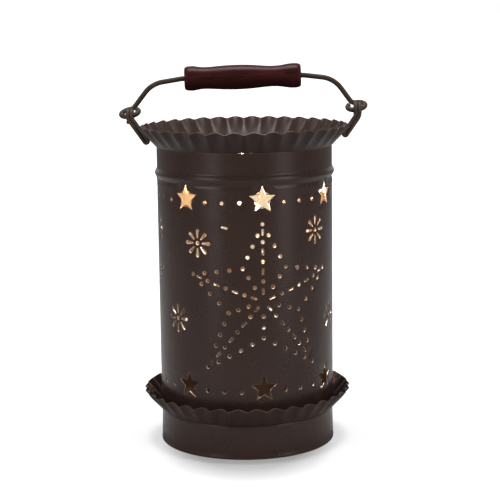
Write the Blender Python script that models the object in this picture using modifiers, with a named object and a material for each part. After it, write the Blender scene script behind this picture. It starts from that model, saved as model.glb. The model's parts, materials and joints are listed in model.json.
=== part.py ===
"""Electric wax warmer in punched tin, with a lift-off crimped pan, a wire bail and a wooden grip.

Metres, +Z up. The origin is on the floor, at the middle of the base ring. The front, with the big
star, faces -Y.
"""

import math

import bmesh
import bpy
from mathutils import Matrix, Quaternion, Vector

MM = 0.001
GAP = 0.3 * MM  # between two pieces that rest on each other
TIN = 0.5 * MM  # sheet thickness
TURN_STEPS = 48  # facets round the tin cylinders
SMALL_STEPS = 16  # facets round the pieces inside

# Cylinder
SHELL_RADIUS = 63.5 * MM
SHELL_HEIGHT = 191.5 * MM
BEAD_BELOW_TOP = 18.4 * MM
BEAD_BULGE = 1.5 * MM
BEAD_HEIGHT = 6.0 * MM
SEAM_WIDTH = 6.0 * MM
SEAM_PROUD = 0.8 * MM
SEAM_ARC = -193.7 * MM  # round the back, between two dots of the rows

# Base ring
RING_HEIGHT = 24.3 * MM
RING_TOP_RADIUS = SHELL_RADIUS - 0.4 * MM
RING_FOOT_RADIUS = RING_TOP_RADIUS + 0.8 * MM
FOOT_HEM_WIDTH = 3.0 * MM
FOOT_HEM_THICK = 0.8 * MM

# Crimped pans, both the same
SHELL_PLAY = 0.6 * MM  # round the cylinder's foot, inside the lower pan's floor
PAN_FLOOR_RADIUS = SHELL_RADIUS + SHELL_PLAY
PAN_RIM_RADIUS = 75.2 * MM
PAN_DEPTH = 14.5 * MM
FLUTE_COUNT = 36
FLUTE_STEPS = 4  # facets to one flute
FLUTE_RIM_AMPLITUDE = 1.15 * MM
FLUTE_FLOOR_AMPLITUDE = 0.1 * MM

# Punched pattern. Arcs are measured round the cylinder from the middle of the front, towards +X.
DOT_RADIUS = 1.25 * MM
DASH_LENGTH = 4.4 * MM
DASH_WIDTH = 1.5 * MM
PUNCH_DEPTH = 4.0 * MM  # of the cutters, through the sheet
STAR_ARC = 12.1 * MM
STAR_HEIGHT = 88.5 * MM  # its centre, above the cylinder's foot
STAR_TOP_TIP = (0.0, 54.0 * MM)
STAR_SIDE_TIP = (52.8 * MM, 18.1 * MM)
STAR_LOWER_TIP = (40.5 * MM, -47.6 * MM)
STAR_UPPER_NOTCH = (15.6 * MM, 23.3 * MM)
STAR_SIDE_NOTCH = (25.9 * MM, -8.0 * MM)
STAR_BOTTOM_NOTCH = (0.0, -26.2 * MM)
STAR_LEAN = 1.3 * MM  # the hand-set side arms sit this much to the right of the centre line
SIDE_CORNERS = (STAR_SIDE_TIP, STAR_UPPER_NOTCH, STAR_SIDE_NOTCH)
UPPER_EDGE_COUNT = 4  # dots to each edge of the top and side arms
LOWER_EDGE_COUNT = 5
SPINE_START = 7.0 * MM
SPINE_END = 5.5 * MM  # short of the tip
UPPER_SPINE_COUNT = 7
LOWER_SPINE_COUNT = 8
NOTCH_DOT_SHARES = (0.42, 0.72)

ROW_STAR_COUNT = 7
ROW_STAR_RADIUS = 9.6 * MM
ROW_STAR_WAIST = 0.45  # inner radius, as a share of the outer
ROW_DOT_COUNT = 3  # between two stars
ROW_DOT_PITCH = 12.5 * MM
ROW_DOT_DROP = 2.2 * MM
UPPER_ROW_HEIGHT = 159.4 * MM
LOWER_ROW_HEIGHT = 25.8 * MM

PETAL_COUNT = 8
FLOWER_INNER = 3.8 * MM
FLOWER_OUTER = 9.8 * MM
PETAL_WIDTH = 2.0 * MM
FLOWER_PLACES = (  # arc from the big star's centre, and height
    (-47.4 * MM, 128.6 * MM),
    (44.4 * MM, 134.8 * MM),
    (-67.4 * MM, 72.9 * MM),
    (66.5 * MM, 70.0 * MM),
)
LONE_PUNCH = (-26.8 * MM, 140.2 * MM)  # one slit that stands by itself
LONE_PUNCH_ANGLE = math.radians(-15.0)

# Collar under the wax pan
COLLAR_HEIGHT = 8.0 * MM
COLLAR_CLEARANCE = 0.6 * MM
COLLAR_END_GAP = 4.6 * MM

# Bail and ears
WIRE_DIAMETER = 3.7 * MM
STRAND_DIAMETER = 2.8 * MM
STRAND_BOND = 0.1 * MM  # how far the two strands of an ear melt into each other
EYE_PLAY = 1.0 * MM
EYE_PAST_RIM = 6.8 * MM  # how far each eye stands out beyond the wax pan's rim
PIVOT_HALF_SPAN = PAN_RIM_RADIUS + EYE_PAST_RIM
PIVOT_ABOVE_RIM = 8.4 * MM  # mean height of the two eyes above the wax pan's rim
PIVOT_RISE_RIGHT = 2.8 * MM  # the right eye stands this much higher than the left
EAR_AZIMUTH = math.radians(85.0)  # from the middle of the front, either way
LEFT_EAR_FOOT = 0.38  # the foot starts at this share of the pan's wall
RIGHT_EAR_FOOT = 0.62
EAR_BEND_RADIUS = 8.0 * MM
EYE_END_ANGLE = math.radians(-115.0)
LOOP_RADIUS = 6.35 * MM
LOOP_TILT = math.radians(20.0)  # the loop's far side stands higher than the ears' eyes
LOOP_OPEN = math.radians(50.0)
LEFT_LOOP_DIP = math.radians(9.0)  # of the loop's outer end
RIGHT_LOOP_DIP = math.radians(-8.0)
LEG_SLOPE = math.radians(53.0)
LEG_FOOT_BEND = 4.0 * MM
LEG_REACH = 15.8 * MM  # from each eye in to the bail's shoulder
SHOULDER_X = PIVOT_HALF_SPAN - LEG_REACH
SHOULDER_DROP = 3.1 * MM
SHOULDER_BEND = 20.0 * MM
GRIP_END_BEND = 20.0 * MM
WIRE_LEVEL = 2.0 * MM  # the wire runs on straight past the grip before it bends

# Wooden grip
GRIP_LENGTH = 84.4 * MM
GRIP_BORE = 4.3 * MM
GRIP_END_RADIUS = 8.95 * MM
GRIP_BELLY_RADIUS = 8.95 * MM
GRIP_LEFT_NECK_RADIUS = 7.9 * MM
GRIP_RIGHT_NECK_RADIUS = 7.5 * MM
GRIP_LEFT_NECK = -25.0 * MM
GRIP_RIGHT_NECK = 22.5 * MM
GRIP_END_WIDTH = 10.0 * MM
GRIP_CORNER = 1.6 * MM

# Cord inlet in the rear of the base ring
INLET_HEIGHT = 12.0 * MM
INLET_HOLE = 9.0 * MM
CORD_BORE = 5.0 * MM
GROMMET_FLANGE = 13.0 * MM
GROMMET_LIP = 1.4 * MM
GROMMET_GROOVE = 1.6 * MM
GROMMET_BEVEL = 0.8 * MM

# Riser and its fixings
PIPE_DIAMETER = 9.7 * MM
PIPE_BORE = 6.5 * MM
PIPE_CLEARANCE = 0.3 * MM
PIPE_PAST_NUT = 3.7 * MM
PIPE_IN_SOCKET = 4.0 * MM
NUT_ACROSS = 16.0 * MM
NUT_HEIGHT = 4.0 * MM
WASHER_DIAMETER = 24.0 * MM
WASHER_THICK = 1.2 * MM

# Bulb
BULB_RADIUS = 24.0 * MM
BULB_LENGTH = 89.0 * MM
BULB_BELOW_PAN = 22.0 * MM
BULB_WIDEST_TO = math.radians(-30.0)  # the round part of the envelope ends at this angle
BULB_CAP_RADIUS = 12.8 * MM
BULB_CAP_HEIGHT = 21.0 * MM
BULB_CAP_FOOT_RADIUS = 9.4 * MM
BULB_CAP_SHEET = 0.4 * MM
THREAD_COUNT = 4
BULB_THREAD_DEPTH = 0.7 * MM
BULB_THREAD_MARGIN = 2.0 * MM  # plain cap above and below the thread
BULB_NECK_RADIUS = BULB_CAP_RADIUS - 0.8 * MM
BULB_NECK_HEIGHT = 6.0 * MM
BULB_NECK_IN_CAP = 1.2 * MM
GLASS_THICK = 0.8 * MM
TIP_RADIUS = 3.2 * MM
TIP_TOP_RADIUS = 4.5 * MM
TIP_HEIGHT = 1.8 * MM
INSULATOR_RADIUS = 9.0 * MM
INSULATOR_FOOT_RADIUS = 5.0 * MM
INSULATOR_HEIGHT = 3.0 * MM
STEM_RADIUS = 2.4 * MM
STEM_FLARE_HEIGHT = 4.0 * MM
STEM_BELOW_FILAMENT = 16.0 * MM
FILAMENT_ABOVE_TIP = 66.0 * MM
FILAMENT_SPAN = 20.0 * MM
FILAMENT_RISE = 3.5 * MM
FILAMENT_DIAMETER = 0.9 * MM
LEAD_DIAMETER = 0.7 * MM
LEAD_SPREAD = 1.2 * MM  # of each lead from the axis, where it leaves the stem

# Lampholder, from the bulb outwards
SCREW_PLAY = 0.5 * MM
SCREW_SHELL_SHEET = 0.4 * MM
SCREW_SHELL_HEIGHT = 23.0 * MM
CONTACT_RADIUS = 3.0 * MM
CONTACT_HEIGHT = 3.5 * MM
CONTACT_CHAMFER = 1.2 * MM
CONTACT_CLEARANCE = 3.0 * MM  # between the centre contact and the screw shell's floor
BODY_HEIGHT = 12.0 * MM
BODY_HEAD_HEIGHT = 5.0 * MM
BODY_WAIST_RADIUS = 9.0 * MM
BODY_ABOVE_SOCKET = 8.0 * MM  # its foot above the cap's foot
TERMINAL_RADIUS = 2.8 * MM
TERMINAL_HEIGHT = 2.2 * MM
LINER_THICK = 0.8 * MM
LINER_SHORT = 0.5 * MM  # of the sleeve, at each end
SOCKET_SHEET = 0.5 * MM
SOCKET_SLEEVE_LENGTH = 37.0 * MM
SOCKET_SLEEVE_LAP = 5.0 * MM  # inside the cap
SOCKET_CAP_HEIGHT = 18.0 * MM
SOCKET_SIDE_FROM = 10.0 * MM  # the cap's straight side starts this far up
SOCKET_NECK_HEIGHT = 3.0 * MM
SOCKET_NECK_WALL = 3.0 * MM
SOCKET_SHOULDER_RISE = 2.0 * MM
SOCKET_SHOULDER_INSET = 4.0 * MM

# Places worked out from the sizes above
LOWER_PAN_Z = RING_HEIGHT + GAP
PAN_FLOOR_TOP = LOWER_PAN_Z + TIN
SHELL_Z = PAN_FLOOR_TOP + GAP
SHELL_TOP = SHELL_Z + SHELL_HEIGHT
UPPER_PAN_Z = SHELL_TOP + GAP
EYE_RADIUS = WIRE_DIAMETER / 2 + EYE_PLAY + STRAND_DIAMETER / 2
STRAND_SPACING = STRAND_DIAMETER - STRAND_BOND
STEM_Y = -math.cos(EAR_AZIMUTH) * (PAN_FLOOR_RADIUS + PAN_RIM_RADIUS) / 2
PIVOT = Vector((0.0, STEM_Y + EYE_RADIUS, UPPER_PAN_Z + PAN_DEPTH + PIVOT_ABOVE_RIM))
PIVOT_TILT = math.atan2(PIVOT_RISE_RIGHT / 2, PIVOT_HALF_SPAN)
LEG_Y = 2 * LOOP_RADIUS * math.cos(LOOP_TILT)
LEG_FOOT_Z = 2 * LOOP_RADIUS * math.sin(LOOP_TILT)
LEG_FOOT_RUN = LEG_FOOT_BEND * math.tan((LEG_SLOPE - RIGHT_LOOP_DIP) / 2)
LEG_FOOT_X = PIVOT_HALF_SPAN - LEG_FOOT_RUN
GRIP_Z = LEG_FOOT_Z + (LEG_FOOT_X - SHOULDER_X) * math.tan(LEG_SLOPE) + SHOULDER_DROP
BULB_TIP_Z = UPPER_PAN_Z - BULB_BELOW_PAN - BULB_LENGTH
BULB_CAP_Z = BULB_TIP_Z + TIP_HEIGHT + GAP + INSULATOR_HEIGHT + GAP
BULB_CAP_TOP = BULB_CAP_Z + BULB_CAP_HEIGHT
FILAMENT_Z = BULB_TIP_Z + FILAMENT_ABOVE_TIP
STEM_TOP = FILAMENT_Z - STEM_BELOW_FILAMENT
SCREW_SHELL_Z = BULB_TIP_Z - GAP - CONTACT_HEIGHT
BODY_Z = SCREW_SHELL_Z - GAP - BODY_HEIGHT
SOCKET_Z = BODY_Z - BODY_ABOVE_SOCKET
SOCKET_SLEEVE_Z = SOCKET_Z + SOCKET_CAP_HEIGHT - SOCKET_SLEEVE_LAP
SCREW_SHELL_RADIUS = BULB_CAP_RADIUS + SCREW_PLAY + SCREW_SHELL_SHEET
LINER_RADIUS = SCREW_SHELL_RADIUS + GAP + LINER_THICK
SOCKET_SLEEVE_RADIUS = LINER_RADIUS + GAP + SOCKET_SHEET
SOCKET_CAP_RADIUS = SOCKET_SLEEVE_RADIUS + GAP + SOCKET_SHEET
PIPE_HOLE_RADIUS = PIPE_DIAMETER / 2 + PIPE_CLEARANCE

# Colour, roughness, metallic and alpha of each finish
FINISHES = {
    "painted_tin": ((0.042, 0.028, 0.024), 0.42, 0.0, 1.0),
    "painted_wire": ((0.07, 0.048, 0.036), 0.45, 0.0, 1.0),
    "stained_wood": ((0.045, 0.011, 0.011), 0.4, 0.0, 1.0),
    "black_rubber": ((0.02, 0.02, 0.02), 0.7, 0.0, 1.0),
    "brass": ((0.78, 0.58, 0.25), 0.3, 1.0, 1.0),
    "plated_steel": ((0.62, 0.6, 0.57), 0.35, 1.0, 1.0),
    "card_liner": ((0.5, 0.36, 0.2), 0.9, 0.0, 1.0),
    "dark_moulding": ((0.03, 0.02, 0.018), 0.5, 0.0, 1.0),
    "clear_glass": ((0.95, 0.95, 0.93), 0.05, 0.0, 0.35),
    "black_glass": ((0.02, 0.02, 0.025), 0.1, 0.0, 1.0),
    "tungsten": ((0.4, 0.38, 0.36), 0.4, 1.0, 1.0),
}

COLLECTION = bpy.data.collections.new("wax_warmer")
CUTTERS = bpy.data.collections.new("cutters")


def clear_scene():
    for obj in list(bpy.data.objects):
        bpy.data.objects.remove(obj)
    for collection in (COLLECTION, CUTTERS):
        bpy.context.scene.collection.children.link(collection)


def material(name, colour, roughness, metallic, alpha):
    made = bpy.data.materials.new(name)
    made.use_nodes = True
    shader = made.node_tree.nodes["Principled BSDF"]
    shader.inputs["Base Color"].default_value = (*colour, 1.0)
    shader.inputs["Roughness"].default_value = roughness
    shader.inputs["Metallic"].default_value = metallic
    shader.inputs["Alpha"].default_value = alpha
    made.diffuse_color = (*colour, alpha)
    return made


def place(name, data, finish=None, collection=COLLECTION):
    obj = bpy.data.objects.new(name, data)
    collection.objects.link(obj)
    if finish:
        data.materials.append(finish)
    return obj


def hide(obj):
    obj.hide_render = True
    obj.display_type = "WIRE"
    return obj


def smooth(obj, angle=35.0):
    obj.data.shade_smooth()
    obj.data.set_sharp_from_angle(angle=math.radians(angle))


def arc(centre, radius, start, end, steps):
    """Points of a flat arc, both ends included, with angles in radians."""
    points = []
    for step in range(steps + 1):
        angle = start + (end - start) * step / steps
        points.append((centre[0] + radius * math.cos(angle), centre[1] + radius * math.sin(angle)))
    return points


def turned(name, outline, finish, steps, closed=False, collection=COLLECTION):
    """A solid turned about Z. The outline of (radius, height) runs down its outer side."""
    mesh = bpy.data.meshes.new(name)
    edges = [(i, i + 1) for i in range(len(outline) - 1)]
    if closed:
        edges.append((len(outline) - 1, 0))
    mesh.from_pydata([(radius, 0.0, height) for radius, height in outline], edges, [])
    obj = place(name, mesh, finish, collection)
    screw = obj.modifiers.new("turn", "SCREW")
    screw.steps = steps
    screw.render_steps = steps
    screw.use_merge_vertices = True
    screw.merge_threshold = 0.00001
    screw.use_smooth_shade = True
    return obj


def tube(name, points, diameter, finish, sides=2):
    """A round wire along the points, with closed ends."""
    curve = bpy.data.curves.new(name, "CURVE")
    curve.dimensions = "3D"
    curve.bevel_depth = diameter / 2
    curve.bevel_resolution = sides
    curve.use_fill_caps = True
    spline = curve.splines.new("POLY")
    spline.points.add(len(points) - 1)
    for point, place_at in zip(spline.points, points):
        point.co = (*place_at, 1.0)
    return place(name, curve, finish)


def block(name, size, centre):
    """A box that cuts or joins another piece."""
    mesh = bpy.data.meshes.new(name)
    shape = bmesh.new()
    matrix = Matrix.Translation(centre) @ Matrix.Diagonal((*size, 1.0))
    bmesh.ops.create_cube(shape, size=1.0, matrix=matrix)
    shape.to_mesh(mesh)
    shape.free()
    return place(name, mesh, None, CUTTERS)


def cylinder(name, radius, depth, matrix, finish=None, sides=SMALL_STEPS, collection=CUTTERS):
    mesh = bpy.data.meshes.new(name)
    shape = bmesh.new()
    bmesh.ops.create_cone(
        shape, cap_ends=True, segments=sides, radius1=radius, radius2=radius, depth=depth
    )
    shape.to_mesh(mesh)
    shape.free()
    obj = place(name, mesh, finish, collection)
    obj.matrix_world = matrix
    return obj


def combine(obj, tool, operation="DIFFERENCE"):
    """Cuts the tool out of the object, or joins it on."""
    boolean = obj.modifiers.new(tool.name, "BOOLEAN")
    boolean.operation = operation
    boolean.use_self = True
    boolean.object = hide(tool)


def rounded(corners, radii, steps):
    """The corners of a path as points, each inner corner rounded to its radius."""
    points = [corners[0]]
    for before, corner, after, radius in zip(corners, corners[1:], corners[2:], radii):
        to_before = (before - corner).normalized()
        to_after = (after - corner).normalized()
        half = to_before.angle(to_after) / 2
        reach = radius / math.tan(half)
        middle = corner + (to_before + to_after).normalized() * (radius / math.sin(half))
        first = corner + to_before * reach - middle
        last = corner + to_after * reach - middle
        turn = first.rotation_difference(last)
        for step in range(steps + 1):
            points.append(middle + Quaternion().slerp(turn, step / steps) @ first)
    points.append(corners[-1])
    return points


def on_shell(arc_length, height):
    """A frame on the cylinder's face: X along its arc, Y up, Z straight out."""
    angle = arc_length / SHELL_RADIUS
    out = Vector((math.sin(angle), -math.cos(angle), 0.0))
    along = Vector((math.cos(angle), math.sin(angle), 0.0))
    frame = Matrix((along, Vector((0.0, 0.0, 1.0)), out)).transposed().to_4x4()
    frame.translation = out * (SHELL_RADIUS - TIN / 2) + Vector((0.0, 0.0, SHELL_Z + height))
    return frame


def punch_dot(shape, arc_length, height, radius=DOT_RADIUS, sides=5):
    bmesh.ops.create_cone(
        shape,
        cap_ends=True,
        segments=sides,
        radius1=radius,
        radius2=radius,
        depth=PUNCH_DEPTH,
        matrix=on_shell(arc_length, height),
    )


def punch_slit(shape, arc_length, height, angle, length=DASH_LENGTH, width=DASH_WIDTH):
    size = Matrix.Diagonal((length, width, PUNCH_DEPTH, 1.0))
    frame = on_shell(arc_length, height) @ Matrix.Rotation(angle, 4, "Z") @ size
    bmesh.ops.create_cube(shape, size=1.0, matrix=frame)


def punch_star(shape, arc_length, height):
    points = 5
    made = bmesh.ops.create_circle(shape, cap_ends=True, segments=2 * points, radius=1.0)
    for index, vert in enumerate(made["verts"]):
        radius = ROW_STAR_RADIUS * (1.0 if index % 2 == 0 else ROW_STAR_WAIST)
        angle = math.pi / 2 + index * math.pi / points
        vert.co = (radius * math.cos(angle), radius * math.sin(angle), -PUNCH_DEPTH / 2)
    bottom = made["verts"][0].link_faces[0]
    bottom.normal_update()
    if bottom.normal.z > 0:
        bottom.normal_flip()
    grown = bmesh.ops.extrude_face_region(shape, geom=[bottom], use_keep_orig=True)
    top = [item for item in grown["geom"] if isinstance(item, bmesh.types.BMVert)]
    bmesh.ops.translate(shape, vec=(0.0, 0.0, PUNCH_DEPTH), verts=top)
    frame = on_shell(arc_length, height)
    bmesh.ops.transform(shape, matrix=frame, verts=made["verts"] + top)
    bmesh.ops.recalc_face_normals(shape, faces=shape.faces)


def mirrored(point):
    return (-point[0], point[1])


def leaning(corner):
    """A corner of the big star, with the side arms' shift to the right."""
    at_side = corner in SIDE_CORNERS or mirrored(corner) in SIDE_CORNERS
    return (corner[0] + STAR_LEAN, corner[1]) if at_side else corner


def steps_between(start, end, count):
    """Points from start towards end, which isn't included."""
    for step in range(count):
        share = step / count
        yield (start[0] + (end[0] - start[0]) * share, start[1] + (end[1] - start[1]) * share)


def big_star(shape, centre):
    """A five-armed star outlined in dots, with a ridge line of dashes and dots down each arm."""
    right = [
        (STAR_TOP_TIP, STAR_UPPER_NOTCH, UPPER_EDGE_COUNT),
        (STAR_UPPER_NOTCH, STAR_SIDE_TIP, UPPER_EDGE_COUNT),
        (STAR_SIDE_TIP, STAR_SIDE_NOTCH, UPPER_EDGE_COUNT),
        (STAR_SIDE_NOTCH, STAR_LOWER_TIP, LOWER_EDGE_COUNT),
        (STAR_LOWER_TIP, STAR_BOTTOM_NOTCH, LOWER_EDGE_COUNT),
    ]
    left = [(mirrored(end), mirrored(start), count) for start, end, count in reversed(right)]
    for start, end, count in right + left:
        start, end = leaning(start), leaning(end)
        for arc_offset, rise in steps_between(start, end, count):
            punch_dot(shape, centre + arc_offset, STAR_HEIGHT + rise)
    spines = [(STAR_TOP_TIP, UPPER_SPINE_COUNT)]
    for tip, marks in ((STAR_SIDE_TIP, UPPER_SPINE_COUNT), (STAR_LOWER_TIP, LOWER_SPINE_COUNT)):
        spines += [(tip, marks), (mirrored(tip), marks)]
    for tip, marks in spines:
        tip = leaning(tip)
        length = math.hypot(*tip)
        angle = math.atan2(tip[1], tip[0])
        for mark in range(marks):
            reach = SPINE_START + (length - SPINE_START - SPINE_END) * mark / (marks - 1)
            spot = (centre + reach * math.cos(angle), STAR_HEIGHT + reach * math.sin(angle))
            if mark % 2 == 0:
                punch_slit(shape, *spot, angle)
            else:
                punch_dot(shape, *spot)
    notches = (STAR_UPPER_NOTCH, STAR_SIDE_NOTCH)
    for notch in (*notches, *map(mirrored, notches), STAR_BOTTOM_NOTCH):
        notch = leaning(notch)
        for share in NOTCH_DOT_SHARES:
            punch_dot(shape, centre + notch[0] * share, STAR_HEIGHT + notch[1] * share)


def flower(shape, arc_length, height):
    """A snowflake of slits round one dot."""
    punch_dot(shape, arc_length, height)
    middle = (FLOWER_INNER + FLOWER_OUTER) / 2
    for petal in range(PETAL_COUNT):
        angle = 2 * math.pi * petal / PETAL_COUNT
        spot = (arc_length + middle * math.cos(angle), height + middle * math.sin(angle))
        punch_slit(shape, *spot, angle, FLOWER_OUTER - FLOWER_INNER, PETAL_WIDTH)


def star_row(shape, height):
    pitch = 2 * math.pi * SHELL_RADIUS / ROW_STAR_COUNT
    for index in range(ROW_STAR_COUNT):
        spot = STAR_ARC + index * pitch
        punch_star(shape, spot, height)
        for dot in range(ROW_DOT_COUNT):
            offset = pitch / 2 + (dot - (ROW_DOT_COUNT - 1) / 2) * ROW_DOT_PITCH
            punch_dot(shape, spot + offset, height - ROW_DOT_DROP)


def flowers(shape, centre):
    for arc_offset, height in FLOWER_PLACES:
        flower(shape, centre + arc_offset, height)
    punch_slit(shape, centre + LONE_PUNCH[0], LONE_PUNCH[1], LONE_PUNCH_ANGLE)


def punches(name, draw, *where):
    """The holes that one drawing function makes, as a cutter."""
    mesh = bpy.data.meshes.new(name)
    shape = bmesh.new()
    draw(shape, *where)
    shape.to_mesh(mesh)
    shape.free()
    return place(name, mesh, None, CUTTERS)


def body_shell(tin):
    bead_z = SHELL_TOP - BEAD_BELOW_TOP
    half = BEAD_HEIGHT / 2
    radius = (half**2 + BEAD_BULGE**2) / (2 * BEAD_BULGE)
    reach = math.asin(half / radius)
    middle = (SHELL_RADIUS + BEAD_BULGE - radius, bead_z)
    outside = arc(middle, radius, reach, -reach, 4)
    inside = [(r - TIN, z) for r, z in reversed(outside)]
    outline = [(SHELL_RADIUS, SHELL_TOP), *outside, (SHELL_RADIUS, SHELL_Z)]
    outline += [(SHELL_RADIUS - TIN, SHELL_Z), *inside, (SHELL_RADIUS - TIN, SHELL_TOP)]
    shell = turned("body_shell", outline, tin, TURN_STEPS, closed=True)
    size = (SEAM_WIDTH, SHELL_HEIGHT - 2 * TIN, TIN + SEAM_PROUD)
    seam = block("seam", size, (0.0, 0.0, SEAM_PROUD / 2))
    seam.matrix_world = on_shell(SEAM_ARC, SHELL_HEIGHT / 2)
    combine(shell, seam, "UNION")
    combine(shell, punches("star_punches", big_star, STAR_ARC))
    combine(shell, punches("flower_punches", flowers, STAR_ARC))
    combine(shell, punches("upper_row_punches", star_row, UPPER_ROW_HEIGHT))
    combine(shell, punches("lower_row_punches", star_row, LOWER_ROW_HEIGHT))
    return shell


def base_ring(tin):
    outline = [
        (RING_TOP_RADIUS, RING_HEIGHT),
        (RING_FOOT_RADIUS, 0.0),
        (RING_FOOT_RADIUS - FOOT_HEM_WIDTH, 0.0),
        (RING_FOOT_RADIUS - FOOT_HEM_WIDTH, FOOT_HEM_THICK),
        (RING_FOOT_RADIUS - TIN, FOOT_HEM_THICK),
        (RING_TOP_RADIUS - TIN, RING_HEIGHT),
    ]
    ring = turned("base_ring", outline, tin, TURN_STEPS, closed=True)
    matrix = Matrix.Translation((0.0, RING_FOOT_RADIUS, INLET_HEIGHT))
    matrix @= Matrix.Rotation(math.pi / 2, 4, "X")
    combine(ring, cylinder("inlet_hole", INLET_HOLE / 2, INLET_HOLE, matrix))
    return ring


def cord_grommet(rubber):
    neck = INLET_HOLE / 2 - GAP
    flange = GROMMET_FLANGE / 2
    bore = CORD_BORE / 2
    half = GROMMET_GROOVE / 2
    outline = [
        (bore, half + GROMMET_LIP),
        (flange - GROMMET_BEVEL, half + GROMMET_LIP),
        (flange, half),
        (neck, half),
        (neck, -half),
        (flange, -half),
        (flange - GROMMET_BEVEL, -half - GROMMET_LIP),
        (bore, -half - GROMMET_LIP),
    ]
    grommet = turned("cord_grommet", outline, rubber, SMALL_STEPS, closed=True)
    lean = INLET_HEIGHT / RING_HEIGHT
    wall = RING_FOOT_RADIUS + (RING_TOP_RADIUS - RING_FOOT_RADIUS) * lean - TIN / 2
    sag = flange**2 / (2 * wall) / 2
    grommet.location = (0.0, wall - sag, INLET_HEIGHT)
    grommet.rotation_euler = (-math.pi / 2, 0.0, 0.0)
    return grommet


def crimped_pan(name, seat_z, tin):
    """The underside of the pan as one open sheet, with flutes that grow from floor to rim."""
    wall = Vector((PAN_RIM_RADIUS - PAN_FLOOR_RADIUS, PAN_DEPTH - TIN)).normalized()
    mesh = bpy.data.meshes.new(name)
    shape = bmesh.new()
    count = FLUTE_COUNT * FLUTE_STEPS
    floor = []
    rim = []
    for index in range(count):
        angle = 2 * math.pi * index / count
        wave = math.cos(FLUTE_COUNT * angle)
        floor_radius = PAN_FLOOR_RADIUS + FLUTE_FLOOR_AMPLITUDE * wave
        rim_radius = PAN_RIM_RADIUS + FLUTE_RIM_AMPLITUDE * wave * wall.y
        rim_z = PAN_DEPTH - TIN - FLUTE_RIM_AMPLITUDE * wave * wall.x
        across, back = math.sin(angle), -math.cos(angle)
        floor.append(shape.verts.new((floor_radius * across, floor_radius * back, 0.0)))
        rim.append(shape.verts.new((rim_radius * across, rim_radius * back, rim_z)))
    for index in range(count):
        following = (index + 1) % count
        shape.faces.new((floor[index], floor[following], rim[following], rim[index]))
    shape.faces.new(list(reversed(floor)))
    bmesh.ops.recalc_face_normals(shape, faces=shape.faces)
    if min(shape.faces, key=lambda face: face.calc_center_median().z).normal.z > 0:
        bmesh.ops.reverse_faces(shape, faces=shape.faces)
    shape.to_mesh(mesh)
    shape.free()
    pan = place(name, mesh, tin)
    pan.location = (0.0, 0.0, seat_z)
    thicken = pan.modifiers.new("sheet", "SOLIDIFY")
    thicken.thickness = TIN
    thicken.offset = -1.0
    thicken.use_even_offset = True
    smooth(pan)
    return pan


def pan_collar(tin):
    outer = SHELL_RADIUS - TIN - COLLAR_CLEARANCE
    top = UPPER_PAN_Z - GAP
    outline = [
        (outer, top),
        (outer, top - COLLAR_HEIGHT),
        (outer - TIN, top - COLLAR_HEIGHT),
        (outer - TIN, top),
    ]
    collar = turned("pan_collar", outline, tin, TURN_STEPS, closed=True)
    size = (COLLAR_END_GAP, outer / 2, 2 * COLLAR_HEIGHT)
    combine(collar, block("collar_gap", size, (0.0, -outer, top - COLLAR_HEIGHT / 2)))
    return collar


def doubled_strand():
    """The outline of two round strands side by side, for the ears."""
    curve = bpy.data.curves.new("doubled_strand", "CURVE")
    curve.dimensions = "2D"
    half = STRAND_SPACING / 2
    radius = STRAND_DIAMETER / 2
    waist = math.acos(-half / radius)
    lobe = arc((half, 0.0), radius, -waist, waist, 6)[:-1]
    outline = lobe + [(-x, -y) for x, y in lobe]
    spline = curve.splines.new("POLY")
    spline.points.add(len(outline) - 1)
    for point, (x, y) in zip(spline.points, reversed(outline)):
        point.co = (x, y, 0.0, 1.0)
    spline.use_cyclic_u = True
    return hide(place("doubled_strand", curve, None, CUTTERS))


def ear_path(side, foot_share):
    """Up the pan's wall, then over the bail's loop and back under it, ending short of itself."""
    wall = Vector((PAN_RIM_RADIUS - PAN_FLOOR_RADIUS, 0.0, PAN_DEPTH - TIN))
    out = Vector((wall.z, 0.0, -wall.x)).normalized()
    floor = Vector((PAN_FLOOR_RADIUS, 0.0, UPPER_PAN_Z))
    half_width = (STRAND_SPACING + STRAND_DIAMETER) / 2
    deep = FLUTE_RIM_AMPLITUDE

    def beside_wall(share):
        return floor + wall * share + out * (GAP + half_width - deep * share)

    foot = beside_wall(foot_share)
    climb = beside_wall(1.0) - foot
    eye_z = PIVOT.z + side * PIVOT_HALF_SPAN * math.sin(PIVOT_TILT)
    corner = foot + climb * ((PIVOT_HALF_SPAN - foot.x) / climb.x)
    top = Vector((PIVOT_HALF_SPAN, 0.0, eye_z))
    turn = math.pi / 2 - math.atan2(climb.z, climb.x)
    bend = min(EAR_BEND_RADIUS, (eye_z - corner.z) / math.tan(turn / 2))
    points = rounded([foot, corner, top], [bend], 3)[:-1]
    points = [Vector((point.x, STEM_Y, point.z)) for point in points]
    for y, z in arc((PIVOT.y, eye_z), EYE_RADIUS, math.pi, EYE_END_ANGLE, 13):
        points.append(Vector((PIVOT_HALF_SPAN, y, z)))
    return [Vector((side * point.x, point.y, point.z)) for point in points]


def ear(name, side, foot_share, profile, finish):
    obj = tube(name, ear_path(side, foot_share), STRAND_DIAMETER, finish)
    obj.data.bevel_mode = "OBJECT"
    obj.data.bevel_object = profile
    for point in obj.data.splines[0].points:
        point.tilt = math.pi / 2
    return obj


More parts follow.
